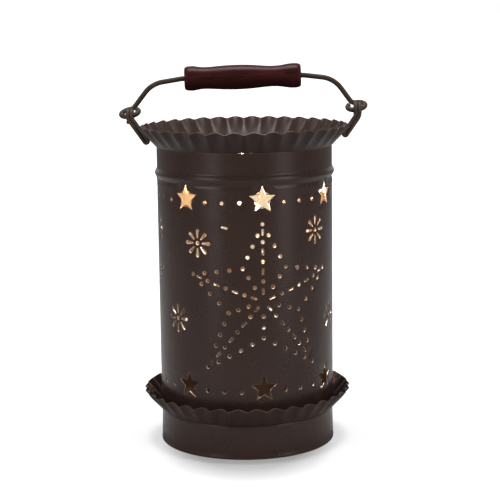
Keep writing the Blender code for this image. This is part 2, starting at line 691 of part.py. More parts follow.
def bail_half(dip):
    """Half of the bail from the grip's middle to the free end of a loop whose outer end dips."""
    turn = Matrix.Rotation(dip, 3, "Y")
    eye = Vector((PIVOT_HALF_SPAN, 0.0, 0.0))
    outward = turn @ Vector((1.0, 0.0, 0.0))
    back = turn @ Vector((0.0, math.cos(LOOP_TILT), math.sin(LOOP_TILT)))
    rear = eye + back * 2 * LOOP_RADIUS
    corners = [
        Vector((0.0, LEG_Y, GRIP_Z)),
        Vector((GRIP_LENGTH / 2 + WIRE_LEVEL, LEG_Y, GRIP_Z)),
        Vector((SHOULDER_X, LEG_Y, GRIP_Z - SHOULDER_DROP)),
        rear - outward * LEG_FOOT_RUN,
        rear,
    ]
    points = rounded(corners, [GRIP_END_BEND, SHOULDER_BEND, LEG_FOOT_BEND], 4)[:-1]
    middle = eye + back * LOOP_RADIUS
    for across, deep in arc((0.0, 0.0), LOOP_RADIUS, math.pi / 2, LOOP_OPEN - 1.5 * math.pi, 14):
        points.append(middle + outward * across + back * deep)
    return points


def bail_wire(pivot, finish):
    right = bail_half(RIGHT_LOOP_DIP)
    left = [Vector((-point.x, point.y, point.z)) for point in reversed(bail_half(LEFT_LOOP_DIP)[1:])]
    bail = tube("bail_wire", left + right[1:], WIRE_DIAMETER, finish)
    bail.parent = pivot
    return bail


def wood_grip(pivot, wood):
    end = GRIP_LENGTH / 2
    inner = end - GRIP_END_WIDTH
    bore = GRIP_BORE / 2
    outline = [
        (bore, end),
        (GRIP_END_RADIUS - GRIP_CORNER, end),
        (GRIP_END_RADIUS - GRIP_CORNER / 4, end - GRIP_CORNER),
        (GRIP_END_RADIUS, end - GRIP_END_WIDTH / 2),
        ((GRIP_END_RADIUS + GRIP_RIGHT_NECK_RADIUS) / 2, inner),
        (GRIP_RIGHT_NECK_RADIUS, GRIP_RIGHT_NECK),
        ((GRIP_RIGHT_NECK_RADIUS + GRIP_BELLY_RADIUS) / 2, GRIP_RIGHT_NECK / 2),
        (GRIP_BELLY_RADIUS, 0.0),
        ((GRIP_LEFT_NECK_RADIUS + GRIP_BELLY_RADIUS) / 2, GRIP_LEFT_NECK / 2),
        (GRIP_LEFT_NECK_RADIUS, GRIP_LEFT_NECK),
        ((GRIP_END_RADIUS + GRIP_LEFT_NECK_RADIUS) / 2, -inner),
        (GRIP_END_RADIUS, -end + GRIP_END_WIDTH / 2),
        (GRIP_END_RADIUS - GRIP_CORNER / 4, -end + GRIP_CORNER),
        (GRIP_END_RADIUS - GRIP_CORNER, -end),
        (bore, -end),
    ]
    grip = turned("wood_grip", outline, wood, 20, closed=True)
    grip.parent = pivot
    grip.location = (0.0, LEG_Y, GRIP_Z)
    grip.rotation_euler = (0.0, math.pi / 2, 0.0)
    return grip


def bored_hex(name, z, finish):
    matrix = Matrix.Translation((0.0, 0.0, z + NUT_HEIGHT / 2))
    corner = NUT_ACROSS / math.sqrt(3)
    nut = cylinder(name, corner, NUT_HEIGHT, matrix, finish, 6, COLLECTION)
    combine(nut, cylinder(name + "_bore", PIPE_HOLE_RADIUS, 3 * NUT_HEIGHT, matrix))
    return nut


def riser(steel):
    outer, inner = PIPE_DIAMETER / 2, PIPE_BORE / 2
    lower_nut_z = LOWER_PAN_Z - GAP - NUT_HEIGHT
    bottom = lower_nut_z - PIPE_PAST_NUT
    top = SOCKET_Z + PIPE_IN_SOCKET
    outline = [(outer, top), (outer, bottom), (inner, bottom), (inner, top)]
    turned("riser_pipe", outline, steel, SMALL_STEPS, closed=True)
    low = PAN_FLOOR_TOP + GAP
    high = low + WASHER_THICK
    rim = WASHER_DIAMETER / 2
    outline = [(rim, high), (rim, low), (PIPE_HOLE_RADIUS, low), (PIPE_HOLE_RADIUS, high)]
    turned("riser_washer", outline, steel, SMALL_STEPS, closed=True)
    bored_hex("locknut_upper", high + GAP, steel)
    bored_hex("locknut_lower", lower_nut_z, steel)


def sleeve(name, radius, wall, low, high, finish):
    outline = [(radius, high), (radius, low), (radius - wall, low), (radius - wall, high)]
    return turned(name, outline, finish, SMALL_STEPS, closed=True)


def lampholder(brass, steel, card, moulding):
    """The cap on the riser, then the sleeve, the liner, the insulator and its contacts."""
    outer = SOCKET_CAP_RADIUS
    inner = outer - SOCKET_SHEET
    top = SOCKET_Z + SOCKET_CAP_HEIGHT
    side = SOCKET_Z + SOCKET_SIDE_FROM
    neck = SOCKET_Z + SOCKET_NECK_HEIGHT
    shoulder = neck + SOCKET_SHOULDER_RISE
    outline = [
        (outer, top),
        (outer, side),
        (outer - SOCKET_SHOULDER_INSET, shoulder),
        (PIPE_HOLE_RADIUS + SOCKET_NECK_WALL, neck),
        (PIPE_HOLE_RADIUS + SOCKET_NECK_WALL, SOCKET_Z),
        (PIPE_HOLE_RADIUS, SOCKET_Z),
        (PIPE_HOLE_RADIUS, neck + SOCKET_SHEET),
        (inner - SOCKET_SHOULDER_INSET, shoulder + SOCKET_SHEET),
        (inner, side),
        (inner, top),
    ]
    turned("socket_cap", outline, brass, SMALL_STEPS, closed=True)
    low = SOCKET_SLEEVE_Z
    high = low + SOCKET_SLEEVE_LENGTH
    sleeve("socket_shell", SOCKET_SLEEVE_RADIUS, SOCKET_SHEET, low, high, brass)
    sleeve("socket_liner", LINER_RADIUS, LINER_THICK, low + LINER_SHORT, high - LINER_SHORT, card)

    top = BODY_Z + BODY_HEIGHT
    head = top - BODY_HEAD_HEIGHT
    outline = [
        (0.0, top),
        (SCREW_SHELL_RADIUS, top),
        (SCREW_SHELL_RADIUS, head),
        (BODY_WAIST_RADIUS, head),
        (BODY_WAIST_RADIUS, BODY_Z),
        (0.0, BODY_Z),
    ]
    turned("socket_body", outline, moulding, SMALL_STEPS)
    inner = SCREW_SHELL_RADIUS - SCREW_SHELL_SHEET
    floor_hole = CONTACT_RADIUS + CONTACT_CLEARANCE
    low = SCREW_SHELL_Z
    high = low + SCREW_SHELL_HEIGHT
    outline = [
        (SCREW_SHELL_RADIUS, high),
        (SCREW_SHELL_RADIUS, low),
        (floor_hole, low),
        (floor_hole, low + SCREW_SHELL_SHEET),
        (inner, low + SCREW_SHELL_SHEET),
        (inner, high),
    ]
    turned("screw_shell", outline, brass, SMALL_STEPS, closed=True)
    high = low + CONTACT_HEIGHT
    outline = [
        (0.0, high),
        (CONTACT_RADIUS / 2, high),
        (CONTACT_RADIUS, high - CONTACT_CHAMFER),
        (CONTACT_RADIUS, low),
        (0.0, low),
    ]
    turned("centre_contact", outline, brass, SMALL_STEPS)
    for name, side, finish in (
        ("terminal_screw_hot", 1, brass),
        ("terminal_screw_neutral", -1, steel),
    ):
        x = side * (BODY_WAIST_RADIUS + GAP + TERMINAL_HEIGHT / 2)
        matrix = Matrix.Translation((x, 0.0, BODY_Z + GAP + TERMINAL_RADIUS))
        matrix @= Matrix.Rotation(math.pi / 2, 4, "Y")
        cylinder(name, TERMINAL_RADIUS, TERMINAL_HEIGHT, matrix, finish, collection=COLLECTION)


def bulb_cap(brass, steel, black_glass):
    """The bulb's threaded cap, the insulator in its foot and the contact under that."""
    high = BULB_TIP_Z + TIP_HEIGHT
    outline = [(0.0, high), (TIP_TOP_RADIUS, high), (TIP_RADIUS, BULB_TIP_Z), (0.0, BULB_TIP_Z)]
    turned("bulb_contact", outline, steel, SMALL_STEPS)
    low = high + GAP
    high = low + INSULATOR_HEIGHT
    outline = [
        (0.0, high),
        (INSULATOR_RADIUS, high),
        (INSULATOR_FOOT_RADIUS, low),
        (0.0, low),
    ]
    turned("bulb_insulator", outline, black_glass, SMALL_STEPS)

    turns = 2 * THREAD_COUNT
    pitch = (BULB_CAP_HEIGHT - 2 * BULB_THREAD_MARGIN) / turns
    outside = [(BULB_CAP_RADIUS, BULB_CAP_TOP)]
    for turn in range(turns):
        radius = BULB_CAP_RADIUS - (BULB_THREAD_DEPTH if turn % 2 == 0 else 0.0)
        outside.append((radius, BULB_CAP_TOP - BULB_THREAD_MARGIN - turn * pitch))
    outside.append((BULB_CAP_FOOT_RADIUS, BULB_CAP_Z))
    inner = BULB_CAP_RADIUS - BULB_THREAD_DEPTH - BULB_CAP_SHEET
    floor = BULB_CAP_Z + BULB_CAP_SHEET
    inside = [
        (0.0, BULB_CAP_Z),
        (0.0, floor),
        (BULB_CAP_FOOT_RADIUS, floor),
        (inner, floor + BULB_THREAD_MARGIN),
        (inner, BULB_CAP_TOP - BULB_THREAD_MARGIN),
        (BULB_CAP_RADIUS - BULB_CAP_SHEET, BULB_CAP_TOP - BULB_NECK_IN_CAP),
        (BULB_CAP_RADIUS - BULB_CAP_SHEET, BULB_CAP_TOP),
    ]
    turned("bulb_base", outside + inside, brass, SMALL_STEPS, closed=True)


def bulb_envelope(glass):
    top = BULB_TIP_Z + BULB_LENGTH
    neck_top = BULB_CAP_TOP + BULB_NECK_HEIGHT
    outside = arc((0.0, top - BULB_RADIUS), BULB_RADIUS, math.pi / 2, BULB_WIDEST_TO, 6)
    waist_radius, waist_z = outside[-1]
    outside += [
        ((waist_radius + BULB_NECK_RADIUS) / 2, (waist_z + neck_top) / 2 + GLASS_THICK),
        (BULB_NECK_RADIUS, neck_top),
        (BULB_NECK_RADIUS, BULB_CAP_TOP - BULB_NECK_IN_CAP + GAP),
    ]
    inside = [(max(radius - GLASS_THICK, 0.0), z) for radius, z in reversed(outside[1:])]
    inside.append((0.0, top - GLASS_THICK))
    turned("bulb_glass", outside + inside, glass, SMALL_STEPS)


def bulb_mount(glass, steel, tungsten):
    """The flared glass stem, the two lead wires that it holds and the filament between them."""
    low = BULB_CAP_TOP - BULB_NECK_IN_CAP + GAP
    outline = [
        (0.0, STEM_TOP),
        (STEM_RADIUS, STEM_TOP),
        (STEM_RADIUS, low + 2 * STEM_FLARE_HEIGHT),
        (2 * STEM_RADIUS, low + STEM_FLARE_HEIGHT),
        (BULB_NECK_RADIUS - GLASS_THICK - GAP, low),
        (0.0, low),
    ]
    turned("bulb_stem", outline, glass, SMALL_STEPS)
    half = FILAMENT_SPAN / 2
    hook = half + LEAD_DIAMETER / 2 + FILAMENT_DIAMETER / 2
    for name, side in (("bulb_lead_left", -1), ("bulb_lead_right", 1)):
        path = [
            Vector((side * LEAD_SPREAD, 0.0, STEM_TOP + GAP)),
            Vector((side * 2 * LEAD_SPREAD, 0.0, STEM_TOP + STEM_BELOW_FILAMENT / 3)),
            Vector((side * hook, 0.0, FILAMENT_Z)),
        ]
        tube(name, path, LEAD_DIAMETER, steel, 1)
    path = []
    steps = 8
    for step in range(steps + 1):
        share = 2 * step / steps - 1
        path.append(Vector((half * share, 0.0, FILAMENT_Z + FILAMENT_RISE * (1 - share**2))))
    tube("bulb_filament", path, FILAMENT_DIAMETER, tungsten, 1)


def main():
    clear_scene()
    finish = {name: material(name, *values) for name, values in FINISHES.items()}
    tin = finish["painted_tin"]
    wire = finish["painted_wire"]
    brass = finish["brass"]
    steel = finish["plated_steel"]
    glass = finish["clear_glass"]

    base_ring(tin)
    cord_grommet(finish["black_rubber"])
    lower_pan = crimped_pan("lower_pan", LOWER_PAN_Z, tin)
    matrix = Matrix.Translation((0.0, 0.0, LOWER_PAN_Z))
    combine(lower_pan, cylinder("pipe_hole", PIPE_HOLE_RADIUS, PAN_DEPTH, matrix))
    body_shell(tin)
    riser(steel)
    lampholder(brass, steel, finish["card_liner"], finish["dark_moulding"])
    bulb_cap(brass, steel, finish["black_glass"])
    bulb_envelope(glass)
    bulb_mount(glass, steel, finish["tungsten"])

    crimped_pan("upper_pan", UPPER_PAN_Z, tin)
    pan_collar(tin)
    strand = doubled_strand()
    ear("ear_left", -1, LEFT_EAR_FOOT, strand, wire)
    ear("ear_right", 1, RIGHT_EAR_FOOT, strand, wire)
    pivot = bpy.data.objects.new("bail_pivot", None)
    COLLECTION.objects.link(pivot)
    pivot.location = PIVOT
    pivot.rotation_euler = (0.0, -PIVOT_TILT, 0.0)
    bail_wire(pivot, wire)
    wood_grip(pivot, finish["stained_wood"])
    bpy.context.view_layer.update()


main()
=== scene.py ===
"""Looks of the punched tin wax warmer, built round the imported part. Shapes are in millimetres."""

import json
import math
from collections import namedtuple
from functools import partial

import bmesh
import bpy
from mathutils import Matrix, Quaternion, Vector, geometry


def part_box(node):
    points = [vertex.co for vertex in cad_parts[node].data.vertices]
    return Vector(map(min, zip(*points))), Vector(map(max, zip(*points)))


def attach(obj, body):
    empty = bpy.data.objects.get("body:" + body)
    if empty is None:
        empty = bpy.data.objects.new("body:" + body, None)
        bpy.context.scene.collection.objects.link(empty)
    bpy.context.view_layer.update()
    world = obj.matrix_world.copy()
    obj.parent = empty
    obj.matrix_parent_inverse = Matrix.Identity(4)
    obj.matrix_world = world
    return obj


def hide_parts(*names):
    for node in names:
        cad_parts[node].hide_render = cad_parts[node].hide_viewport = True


MM = 0.001

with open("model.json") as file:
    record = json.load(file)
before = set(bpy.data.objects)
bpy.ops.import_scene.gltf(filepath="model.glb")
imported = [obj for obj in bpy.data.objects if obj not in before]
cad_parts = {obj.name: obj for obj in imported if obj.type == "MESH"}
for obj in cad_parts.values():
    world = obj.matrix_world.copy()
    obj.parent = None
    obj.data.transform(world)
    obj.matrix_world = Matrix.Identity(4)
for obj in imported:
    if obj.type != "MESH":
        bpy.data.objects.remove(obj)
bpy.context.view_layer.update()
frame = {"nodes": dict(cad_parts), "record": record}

# ------------------------------------------------------------------ sizes, in millimetres
TIN = 0.5
SHELL_R = 63.5
SHELL_Z = 25.4
SHELL_H = 191.5
TURN = 2 * math.pi * SHELL_R
BEAD_V = SHELL_H - 18.4
BEAD_HALF, BEAD_OUT = 3.7, 1.5
CREASE_BELOW, CREASE_WIDE, CREASE_IN = 4.4, 0.9, 0.25
SWELL_BELOW, SWELL_WIDE, SWELL_OUT = 7.0, 1.4, 0.2
SEAM_U = -193.7
SEAM_HALF, SEAM_EASE, SEAM_OUT = 2.6, 0.7, 0.75
MOUTH_EASE = 0.8
MOUTH_RISE = 0.24
NICK = (-4.2, 0.4)
NICK_RISE = -0.35
PAN_FLOOR_R = 64.1
PAN_RIM_R = 75.2
PAN_DEPTH = 14.5
PAN_CORNER_R = 1.0
FLUTES = 36
FLUTE_FOOT, FLUTE_RIM = 0.1, 1.15
FLUTE_FLATTER = 0.12
LOWER_PAN_Z = 24.6
UPPER_PAN_Z = 217.2
RISER_HOLE_R = 5.15
RING_TOP_R = 63.1
RING_FOOT_R = 63.9
RING_H = 24.3
INLET_R = 4.5
INLET_Z = 12.0
STAR_U = 12.1
STAR_V = 88.5
DOT = 2.4
DASH_LENGTH, DASH_WIDTH = 4.2, 1.2
CUT_STAR_R = 9.6
CUT_STAR_WAIST = 0.45
CUT_STAR_REACH = 11.0
PIVOT = Vector((0.0, -1.8204, 240.1))
HALF_SPAN = 82.0
PIVOT_TILT = math.atan2(1.4, HALF_SPAN)


# ------------------------------------------------------------------ meshes
def add_object(name, data):
    obj = bpy.data.objects.new(name, data)
    bpy.context.scene.collection.objects.link(obj)
    return obj


def shade(mesh, sharp):
    """Smooth shading, except at edges sharper than this angle in degrees."""
    mesh.shade_smooth()
    mesh.set_sharp_from_angle(angle=math.radians(sharp))


def make(name, verts, faces, finish):
    """A mesh object from points in millimetres."""
    mesh = bpy.data.meshes.new(name)
    mesh.from_pydata([Vector(v) * MM for v in verts], [], faces)
    mesh.validate()
    mesh.materials.append(finish)
    return add_object(name, mesh)


def fix_mesh(obj, sharp, weld=0.002, thin=0.001):
    """Weld points closer than weld, drop edges shorter than thin, and turn every face outwards."""
    shape = bmesh.new()
    shape.from_mesh(obj.data)
    bmesh.ops.remove_doubles(shape, verts=shape.verts, dist=weld * MM)
    if thin:
        bmesh.ops.dissolve_degenerate(shape, edges=shape.edges, dist=thin * MM)
    bmesh.ops.recalc_face_normals(shape, faces=shape.faces)
    shape.to_mesh(obj.data)
    shape.free()
    shade(obj.data, sharp)


def attribute(obj, name, values):
    """One number for each point, which a material reads by name."""
    obj.data.attributes.new(name, "FLOAT", "POINT").data.foreach_set("value", values)


def rings_to_mesh(rings, closed_rows=True):
    """Quads over a list of closed rings with equally many points."""
    verts = [p for ring in rings for p in ring]
    n = len(rings[0])
    faces = []
    for i in range(len(rings) if closed_rows else len(rings) - 1):
        a, b = i * n, ((i + 1) % len(rings)) * n
        for j in range(n):
            k = (j + 1) % n
            faces.append((a + j, a + k, b + k, b + j))
    return verts, faces


def lathe(name, profile, steps, finish, sharp, axis_closed=False):
    """A profile of (radius, height), turned about Z: a closed one, or one with both ends on the axis."""
    rings = []
    for radius, height in profile:
        ring = []
        for step in range(steps):
            angle = 2 * math.pi * step / steps
            ring.append((radius * math.cos(angle), radius * math.sin(angle), height))
        rings.append(ring)
    verts, faces = rings_to_mesh(rings, closed_rows=not axis_closed)
    obj = make(name, verts, faces, finish)
    fix_mesh(obj, sharp)
    return obj


def arc_points(centre, radius, start, end, steps):
    """Points on an arc, with its angles in degrees."""
    points = []
    for step in range(steps + 1):
        angle = math.radians(start + (end - start) * step / steps)
        points.append((centre[0] + radius * math.cos(angle), centre[1] + radius * math.sin(angle)))
    return points


def spline(points, steps):
    """A smooth line through the points."""
    points = [Vector(p) for p in points]
    ends = [2 * points[0] - points[1], *points, 2 * points[-1] - points[-2]]
    line = []
    for p0, p1, p2, p3 in zip(ends, ends[1:], ends[2:], ends[3:]):
        linear = p2 - p0
        square = 2 * p0 - 5 * p1 + 4 * p2 - p3
        cube = 3 * p1 - p0 - 3 * p2 + p3
        for step in range(steps):
            t = step / steps
            line.append(0.5 * (2 * p1 + linear * t + square * t * t + cube * t * t * t))
    line.append(points[-1])
    return line


def rounded(corners, radii, steps):
    """A line through the corners, with an arc of the given radius at each corner between its ends."""
    points = [corners[0]]
    for before, corner, after, radius in zip(corners, corners[1:], corners[2:], radii):
        to_before = (before - corner).normalized()
        to_after = (after - corner).normalized()
        half = to_before.angle(to_after) / 2
        reach = radius / math.tan(half)
        middle = corner + (to_before + to_after).normalized() * (radius / math.sin(half))
        first = corner + to_before * reach - middle
        last = corner + to_after * reach - middle
        turn = first.rotation_difference(last)
        for step in range(steps + 1):
            points.append(middle + Quaternion().slerp(turn, step / steps) @ first)
    points.append(corners[-1])
    return points


# A wire's rounded end takes this share of its radius. Each ring in it has a depth and a width,
# as shares of the whole.
END_LENGTH = 0.35
END_RINGS = ((0.1, 0.6), (0.55, 0.75), (0.865, 0.89), (1.0, 1.0))


def circle(centre, axis, side, radius, count):
    """Points round the axis, the first of them to its side."""
    other = axis.cross(side)
    angles = [2 * math.pi * k / count for k in range(count)]
    return [centre + side * (radius * math.cos(a)) + other * (radius * math.sin(a)) for a in angles]


def wire(name, path, diameter, finish, sides):
    """A round wire along the points."""
    path = [Vector(p) for p in path]
    radius = diameter / 2
    end_length = END_LENGTH * radius
    last = len(path) - 1
    rings = []
    side = (path[1] - path[0]).normalized().orthogonal().normalized()
    for i, point in enumerate(path):
        tangent = (path[min(i + 1, last)] - path[max(i - 1, 0)]).normalized()
        side = (side - tangent * side.dot(tangent)).normalized()
        if i not in (0, last):
            rings.append(circle(point, tangent, side, radius, sides))
            continue
        inward = tangent * (end_length if i == 0 else -end_length)
        end = []
        for depth, width in END_RINGS:
            end.append(circle(point + inward * depth, tangent, side, radius * width, sides))
        rings += end if i == 0 else end[::-1]
    verts, faces = rings_to_mesh(rings, closed_rows=False)
    faces.append(tuple(reversed(range(sides))))
    faces.append(tuple(range(len(verts) - sides, len(verts))))
    obj = make(name, verts, faces, finish)
    fix_mesh(obj, 50.0)
    return obj


# ------------------------------------------------------------------ materials
class Nodes:
    """A short way to write a material's nodes."""

    SOCKETS = {
        "colour": "Base Color",
        "rough": "Roughness",
        "metal": "Metallic",
        "normal": "Normal",
        "specular": "Specular IOR Level",
        "tint": "Specular Tint",
        "alpha": "Alpha",
        "emit": "Emission Color",
        "emit_strength": "Emission Strength",
    }

    def __init__(self, name):
        self.material = bpy.data.materials.new(name)
        self.material.use_nodes = True
        self.tree = self.material.node_tree
        self.shader = self.tree.nodes["Principled BSDF"]
        self.place = self.add("ShaderNodeTexCoord").outputs["Object"]

    def add(self, kind, inputs=None, **settings):
        node = self.tree.nodes.new(kind)
        for key, value in settings.items():
            setattr(node, key, value)
        for key, value in (inputs or {}).items():
            self.put(node.inputs[key], value)
        return node

    def put(self, socket, value):
        if isinstance(value, bpy.types.NodeSocket):
            self.tree.links.new(value, socket)
        else:
            socket.default_value = value

    def mapped(self, **inputs):
        """The place, stretched or moved."""
        return self.add("ShaderNodeMapping", {"Vector": self.place, **inputs}).outputs[0]

    def noise(self, scale, detail=3.0, rough=0.55, stretch=None, distortion=0.0):
        inputs = {
            "Vector": self.mapped(Scale=stretch) if stretch else self.place,
            "Scale": scale,
            "Detail": detail,
            "Roughness": rough,
            "Distortion": distortion,
        }
        return self.add("ShaderNodeTexNoise", inputs).outputs["Fac"]

    def ramp(self, value, *stops):
        """A colour ramp over the value, from stops of (position, colour)."""
        node = self.add("ShaderNodeValToRGB", {"Fac": value})
        elements = node.color_ramp.elements
        while len(elements) > 1:
            elements.remove(elements[-1])
        elements[0].position = stops[0][0]
        elements[0].color = (*stops[0][1], 1.0)
        for position, colour in stops[1:]:
            elements.new(position).color = (*colour, 1.0)
        return node.outputs["Color"]

    def range(self, value, low, high, to_low, to_high):
        """The value from low to high, spread from to_low to to_high, and held outside that."""
        inputs = {"Value": value, "From Min": low, "From Max": high, "To Min": to_low, "To Max": to_high}
        return self.add("ShaderNodeMapRange", inputs).outputs["Result"]

    def mix(self, factor, base, colour):
        node = self.add("ShaderNodeMix", data_type="RGBA")
        self.put(node.inputs[0], factor)
        self.put(node.inputs[6], base)
        self.put(node.inputs[7], (*colour, 1.0))
        return node.outputs[2]

    def math(self, operation, a, b=0.0, clamp=False):
        return self.add("ShaderNodeMath", {0: a, 1: b}, operation=operation, use_clamp=clamp).outputs[0]

    def length(self, vector):
        return self.add("ShaderNodeVectorMath", {0: vector}, operation="LENGTH").outputs["Value"]

    def axis(self, vector, name):
        return self.add("ShaderNodeSeparateXYZ", {0: vector}).outputs[name]

    def bump(self, height, distance, strength):
        inputs = {"Height": height, "Distance": distance, "Strength": strength}
        return self.add("ShaderNodeBump", inputs).outputs["Normal"]

    def orange_peel(self):
        """The faint unevenness of sprayed paint."""
        return self.bump(self.noise(650.0, 2.0), 0.00006, 0.35)

    def attribute(self, name):
        return self.add("ShaderNodeAttribute", attribute_name=name).outputs["Fac"]

    def set(self, **values):
        for key, value in values.items():
            if isinstance(value, tuple):
                value = (*value, 1.0)
            self.put(self.shader.inputs[self.SOCKETS[key]], value)
        return self.material


PAINT_DARK, PAINT_LIGHT = (0.0245, 0.0118, 0.009), (0.0325, 0.0165, 0.0128)
PAINT_SPECK = (0.046, 0.026, 0.021)
# painted shade for faces that look down
PAINTED_SHADE_UNDER = (0.012, 0.006, 0.005)
PAINT_RUBBED = (0.095, 0.068, 0.054)
BARE_TIN = (0.6, 0.5, 0.47)
LINING_DARK, LINING_LIGHT = (0.034, 0.0145, 0.0068), (0.042, 0.0185, 0.0088)
# painted shade for the lining's lower part
LINING_PAINTED_SHADE = (0.007, 0.002, 0.0012)
WIRE_DARK, WIRE_LIGHT = (0.034, 0.022, 0.016), (0.062, 0.042, 0.03)
WIRE_RUBBED = (0.068, 0.048, 0.036)
WOOD_DARK, WOOD_MIDDLE, WOOD_LIGHT = (0.011, 0.0028, 0.0028), (0.029, 0.0068, 0.0068), (0.06, 0.0145, 0.0125)
WOOD_PORE = (0.008, 0.003, 0.003)


def painted_tin():
    """Dark brown paint: painted shade on faces that look down, rubbed at the edges, bare where tin is cut,
    matt on the pans.
    """
    n = Nodes("painted_tin")
    speck = n.noise(900.0, 2.0)
    base = n.ramp(n.noise(28.0, 4.0), (0.3, PAINT_DARK), (0.7, PAINT_LIGHT))
    base = n.mix(n.range(speck, 0.35, 0.75, 0.0, 0.3), base, PAINT_SPECK)
    # Painted shade: faces that look down are darkened, less so near the floor.
    facing = n.axis(n.add("ShaderNodeNewGeometry").outputs["Normal"], "Z")
    height = n.axis(n.place, "Z")
    painted_underside_shade = n.math("MULTIPLY", n.range(facing, -0.6, -0.2, 0.55, 0.0), n.range(height, 0.05, 0.2, 0.15, 1.0))
    base = n.mix(painted_underside_shade, base, PAINTED_SHADE_UNDER)
    patchy = n.range(n.noise(420.0, 3.0), 0.42, 0.6, 0.25, 1.0)
    base = n.mix(n.math("MULTIPLY", n.attribute("wear"), patchy, clamp=True), base, PAINT_RUBBED)
    patchy = n.range(n.noise(260.0, 2.0), 0.36, 0.52, 0.3, 1.0)
    bare = n.math("MULTIPLY", n.attribute("cut"), patchy, clamp=True)
    base = n.mix(bare, base, BARE_TIN)
    rough = n.range(n.noise(60.0, 3.0), 0.3, 0.7, 0.27, 0.34)
    rough = n.math("ADD", rough, n.range(speck, 0.3, 0.7, -0.03, 0.03))
    rough = n.math("ADD", rough, n.math("MULTIPLY", n.attribute("matt"), 0.12))
    n.set(colour=base, rough=rough, normal=n.orange_peel(), metal=n.math("MULTIPLY", bare, 0.4))
    return n.set(specular=0.24, tint=(1.0, 0.95, 0.92))


def tin_lining():
    """The cylinder's inside: browned by the lamp, with painted shade and more matt towards the foot."""
    n = Nodes("tin_lining")
    height = n.axis(n.place, "Z")
    base = n.ramp(n.noise(40.0, 4.0), (0.3, LINING_DARK), (0.7, LINING_LIGHT))
    # Painted shade: the lining is darkened towards the foot, where little of the lamp's light falls.
    base = n.mix(n.range(height, 0.045, 0.13, 0.85, 0.0), base, LINING_PAINTED_SHADE)
    rough = n.range(height, 0.03, 0.12, 0.62, 0.54)
    n.set(colour=base, rough=rough, normal=n.orange_peel())
    return n.set(specular=0.9, tint=(1.0, 0.84, 0.6))


def painted_wire():
    n = Nodes("painted_wire")
    base = n.ramp(n.noise(70.0, 3.0), (0.3, WIRE_DARK), (0.72, WIRE_LIGHT))
    base = n.mix(n.range(n.noise(240.0, 4.0), 0.56, 0.66, 0.0, 0.7), base, WIRE_RUBBED)
    rough = n.range(n.noise(160.0), 0.3, 0.7, 0.4, 0.55)
    return n.set(colour=base, rough=rough, specular=0.12, normal=n.bump(n.noise(900.0), 0.00005, 0.4))


def stained_wood():
    """Grain and pores that run along the grip."""
    n = Nodes("stained_wood")
    grain = n.noise(95.0, 5.0, 0.62, (0.07, 1.0, 1.0), 0.35)
    pores = n.noise(600.0, 3.0, 0.7, (0.035, 1.0, 1.0))
    base = n.ramp(grain, (0.28, WOOD_DARK), (0.5, WOOD_MIDDLE), (0.75, WOOD_LIGHT))
    base = n.mix(n.range(pores, 0.58, 0.68, 0.0, 0.75), base, WOOD_PORE)
    height = n.math("ADD", n.math("MULTIPLY", grain, 0.5), n.math("MULTIPLY", pores, -0.5))
    rough = n.range(grain, 0.3, 0.7, 0.22, 0.32)
    return n.set(colour=base, rough=rough, normal=n.bump(height, 0.00012, 0.5), specular=0.05)


def metal(name, dark, light, low, high, scale=120.0, stretch=None):
    n = Nodes(name)
    streak = n.noise(scale, 4.0, 0.6, stretch)
    base = n.ramp(streak, (0.3, dark), (0.7, light))
    rough = n.range(n.noise(scale * 2.5), 0.3, 0.7, low, high)
    return n.set(colour=base, rough=rough, metal=1.0, normal=n.bump(streak, 0.00002, 0.4))


def plastic(name, dark, light, low, high, grain=500.0):
    n = Nodes(name)
    base = n.ramp(n.noise(90.0), (0.3, dark), (0.7, light))
    rough = n.range(n.noise(grain), 0.3, 0.7, low, high)
    return n.set(colour=base, rough=rough, normal=n.bump(n.noise(grain), 0.00004, 0.4))


def card():
    n = Nodes("card_liner")
    fibre = n.noise(420.0, 5.0, 0.7, (1.0, 1.0, 0.25))
    base = n.ramp(fibre, (0.3, (0.36, 0.25, 0.13)), (0.7, (0.56, 0.42, 0.25)))
    return n.set(colour=base, rough=0.9, normal=n.bump(fibre, 0.0001, 0.5))


def clear_glass():
    """The lit bulb's thin glass: it glows unevenly, and is clearest where it is seen face on."""
    n = Nodes("clear_glass")
    rough = n.range(n.noise(30.0, 2.0), 0.3, 0.7, 0.02, 0.07)
    edge = n.add("ShaderNodeLayerWeight", {"Blend": 0.25}).outputs["Facing"]
    alpha = n.range(n.math("POWER", edge, 2.0), 0.0, 1.0, 0.5, 0.75)
    lit = n.ramp(n.noise(160.0, 4.0, 0.7), (0.36, (0.8, 0.5, 0.24)), (0.46, (1.0, 0.84, 0.6)))
    n.set(colour=(0.008, 0.0062, 0.0045), rough=rough, specular=0.4)
    return n.set(alpha=alpha, emit=lit, emit_strength=0.54)


def glow():
    n = Nodes("hot_filament")
    heat = n.ramp(n.noise(300.0, 2.0), (0.3, (1.0, 0.62, 0.28)), (0.7, (1.0, 0.8, 0.5)))
    return n.set(colour=(0.4, 0.3, 0.2), rough=0.5, emit=heat, emit_strength=60.0)


TIN_PAINT = painted_tin()
TIN_LINING = tin_lining()
WIRE_PAINT = painted_wire()
WOOD = stained_wood()
BRASS = metal("brass", (0.62, 0.4, 0.14), (0.82, 0.6, 0.27), 0.24, 0.4, 140.0, (1.0, 1.0, 6.0))
STEEL = metal("plated_steel", (0.5, 0.49, 0.46), (0.68, 0.66, 0.62), 0.26, 0.42)
CARD = card()
MOULDING = plastic("dark_moulding", (0.018, 0.011, 0.009), (0.035, 0.023, 0.019), 0.3, 0.42)
RUBBER = plastic("black_rubber", (0.012, 0.012, 0.012), (0.026, 0.025, 0.024), 0.62, 0.8, 800.0)
GLASS = clear_glass()
BLACK_GLASS = plastic("black_glass", (0.008, 0.008, 0.01), (0.02, 0.02, 0.024), 0.08, 0.16)
FILAMENT = glow()


# ------------------------------------------------------------------ the punched cylinder
# A place on the wall is (u, v): the arc from the front, to the right, and the height above the foot.
def smooth_step(t):
    """From 0 to 1, level at both ends."""
    t = min(1.0, max(0.0, t))
    return t * t * (3 - 2 * t)


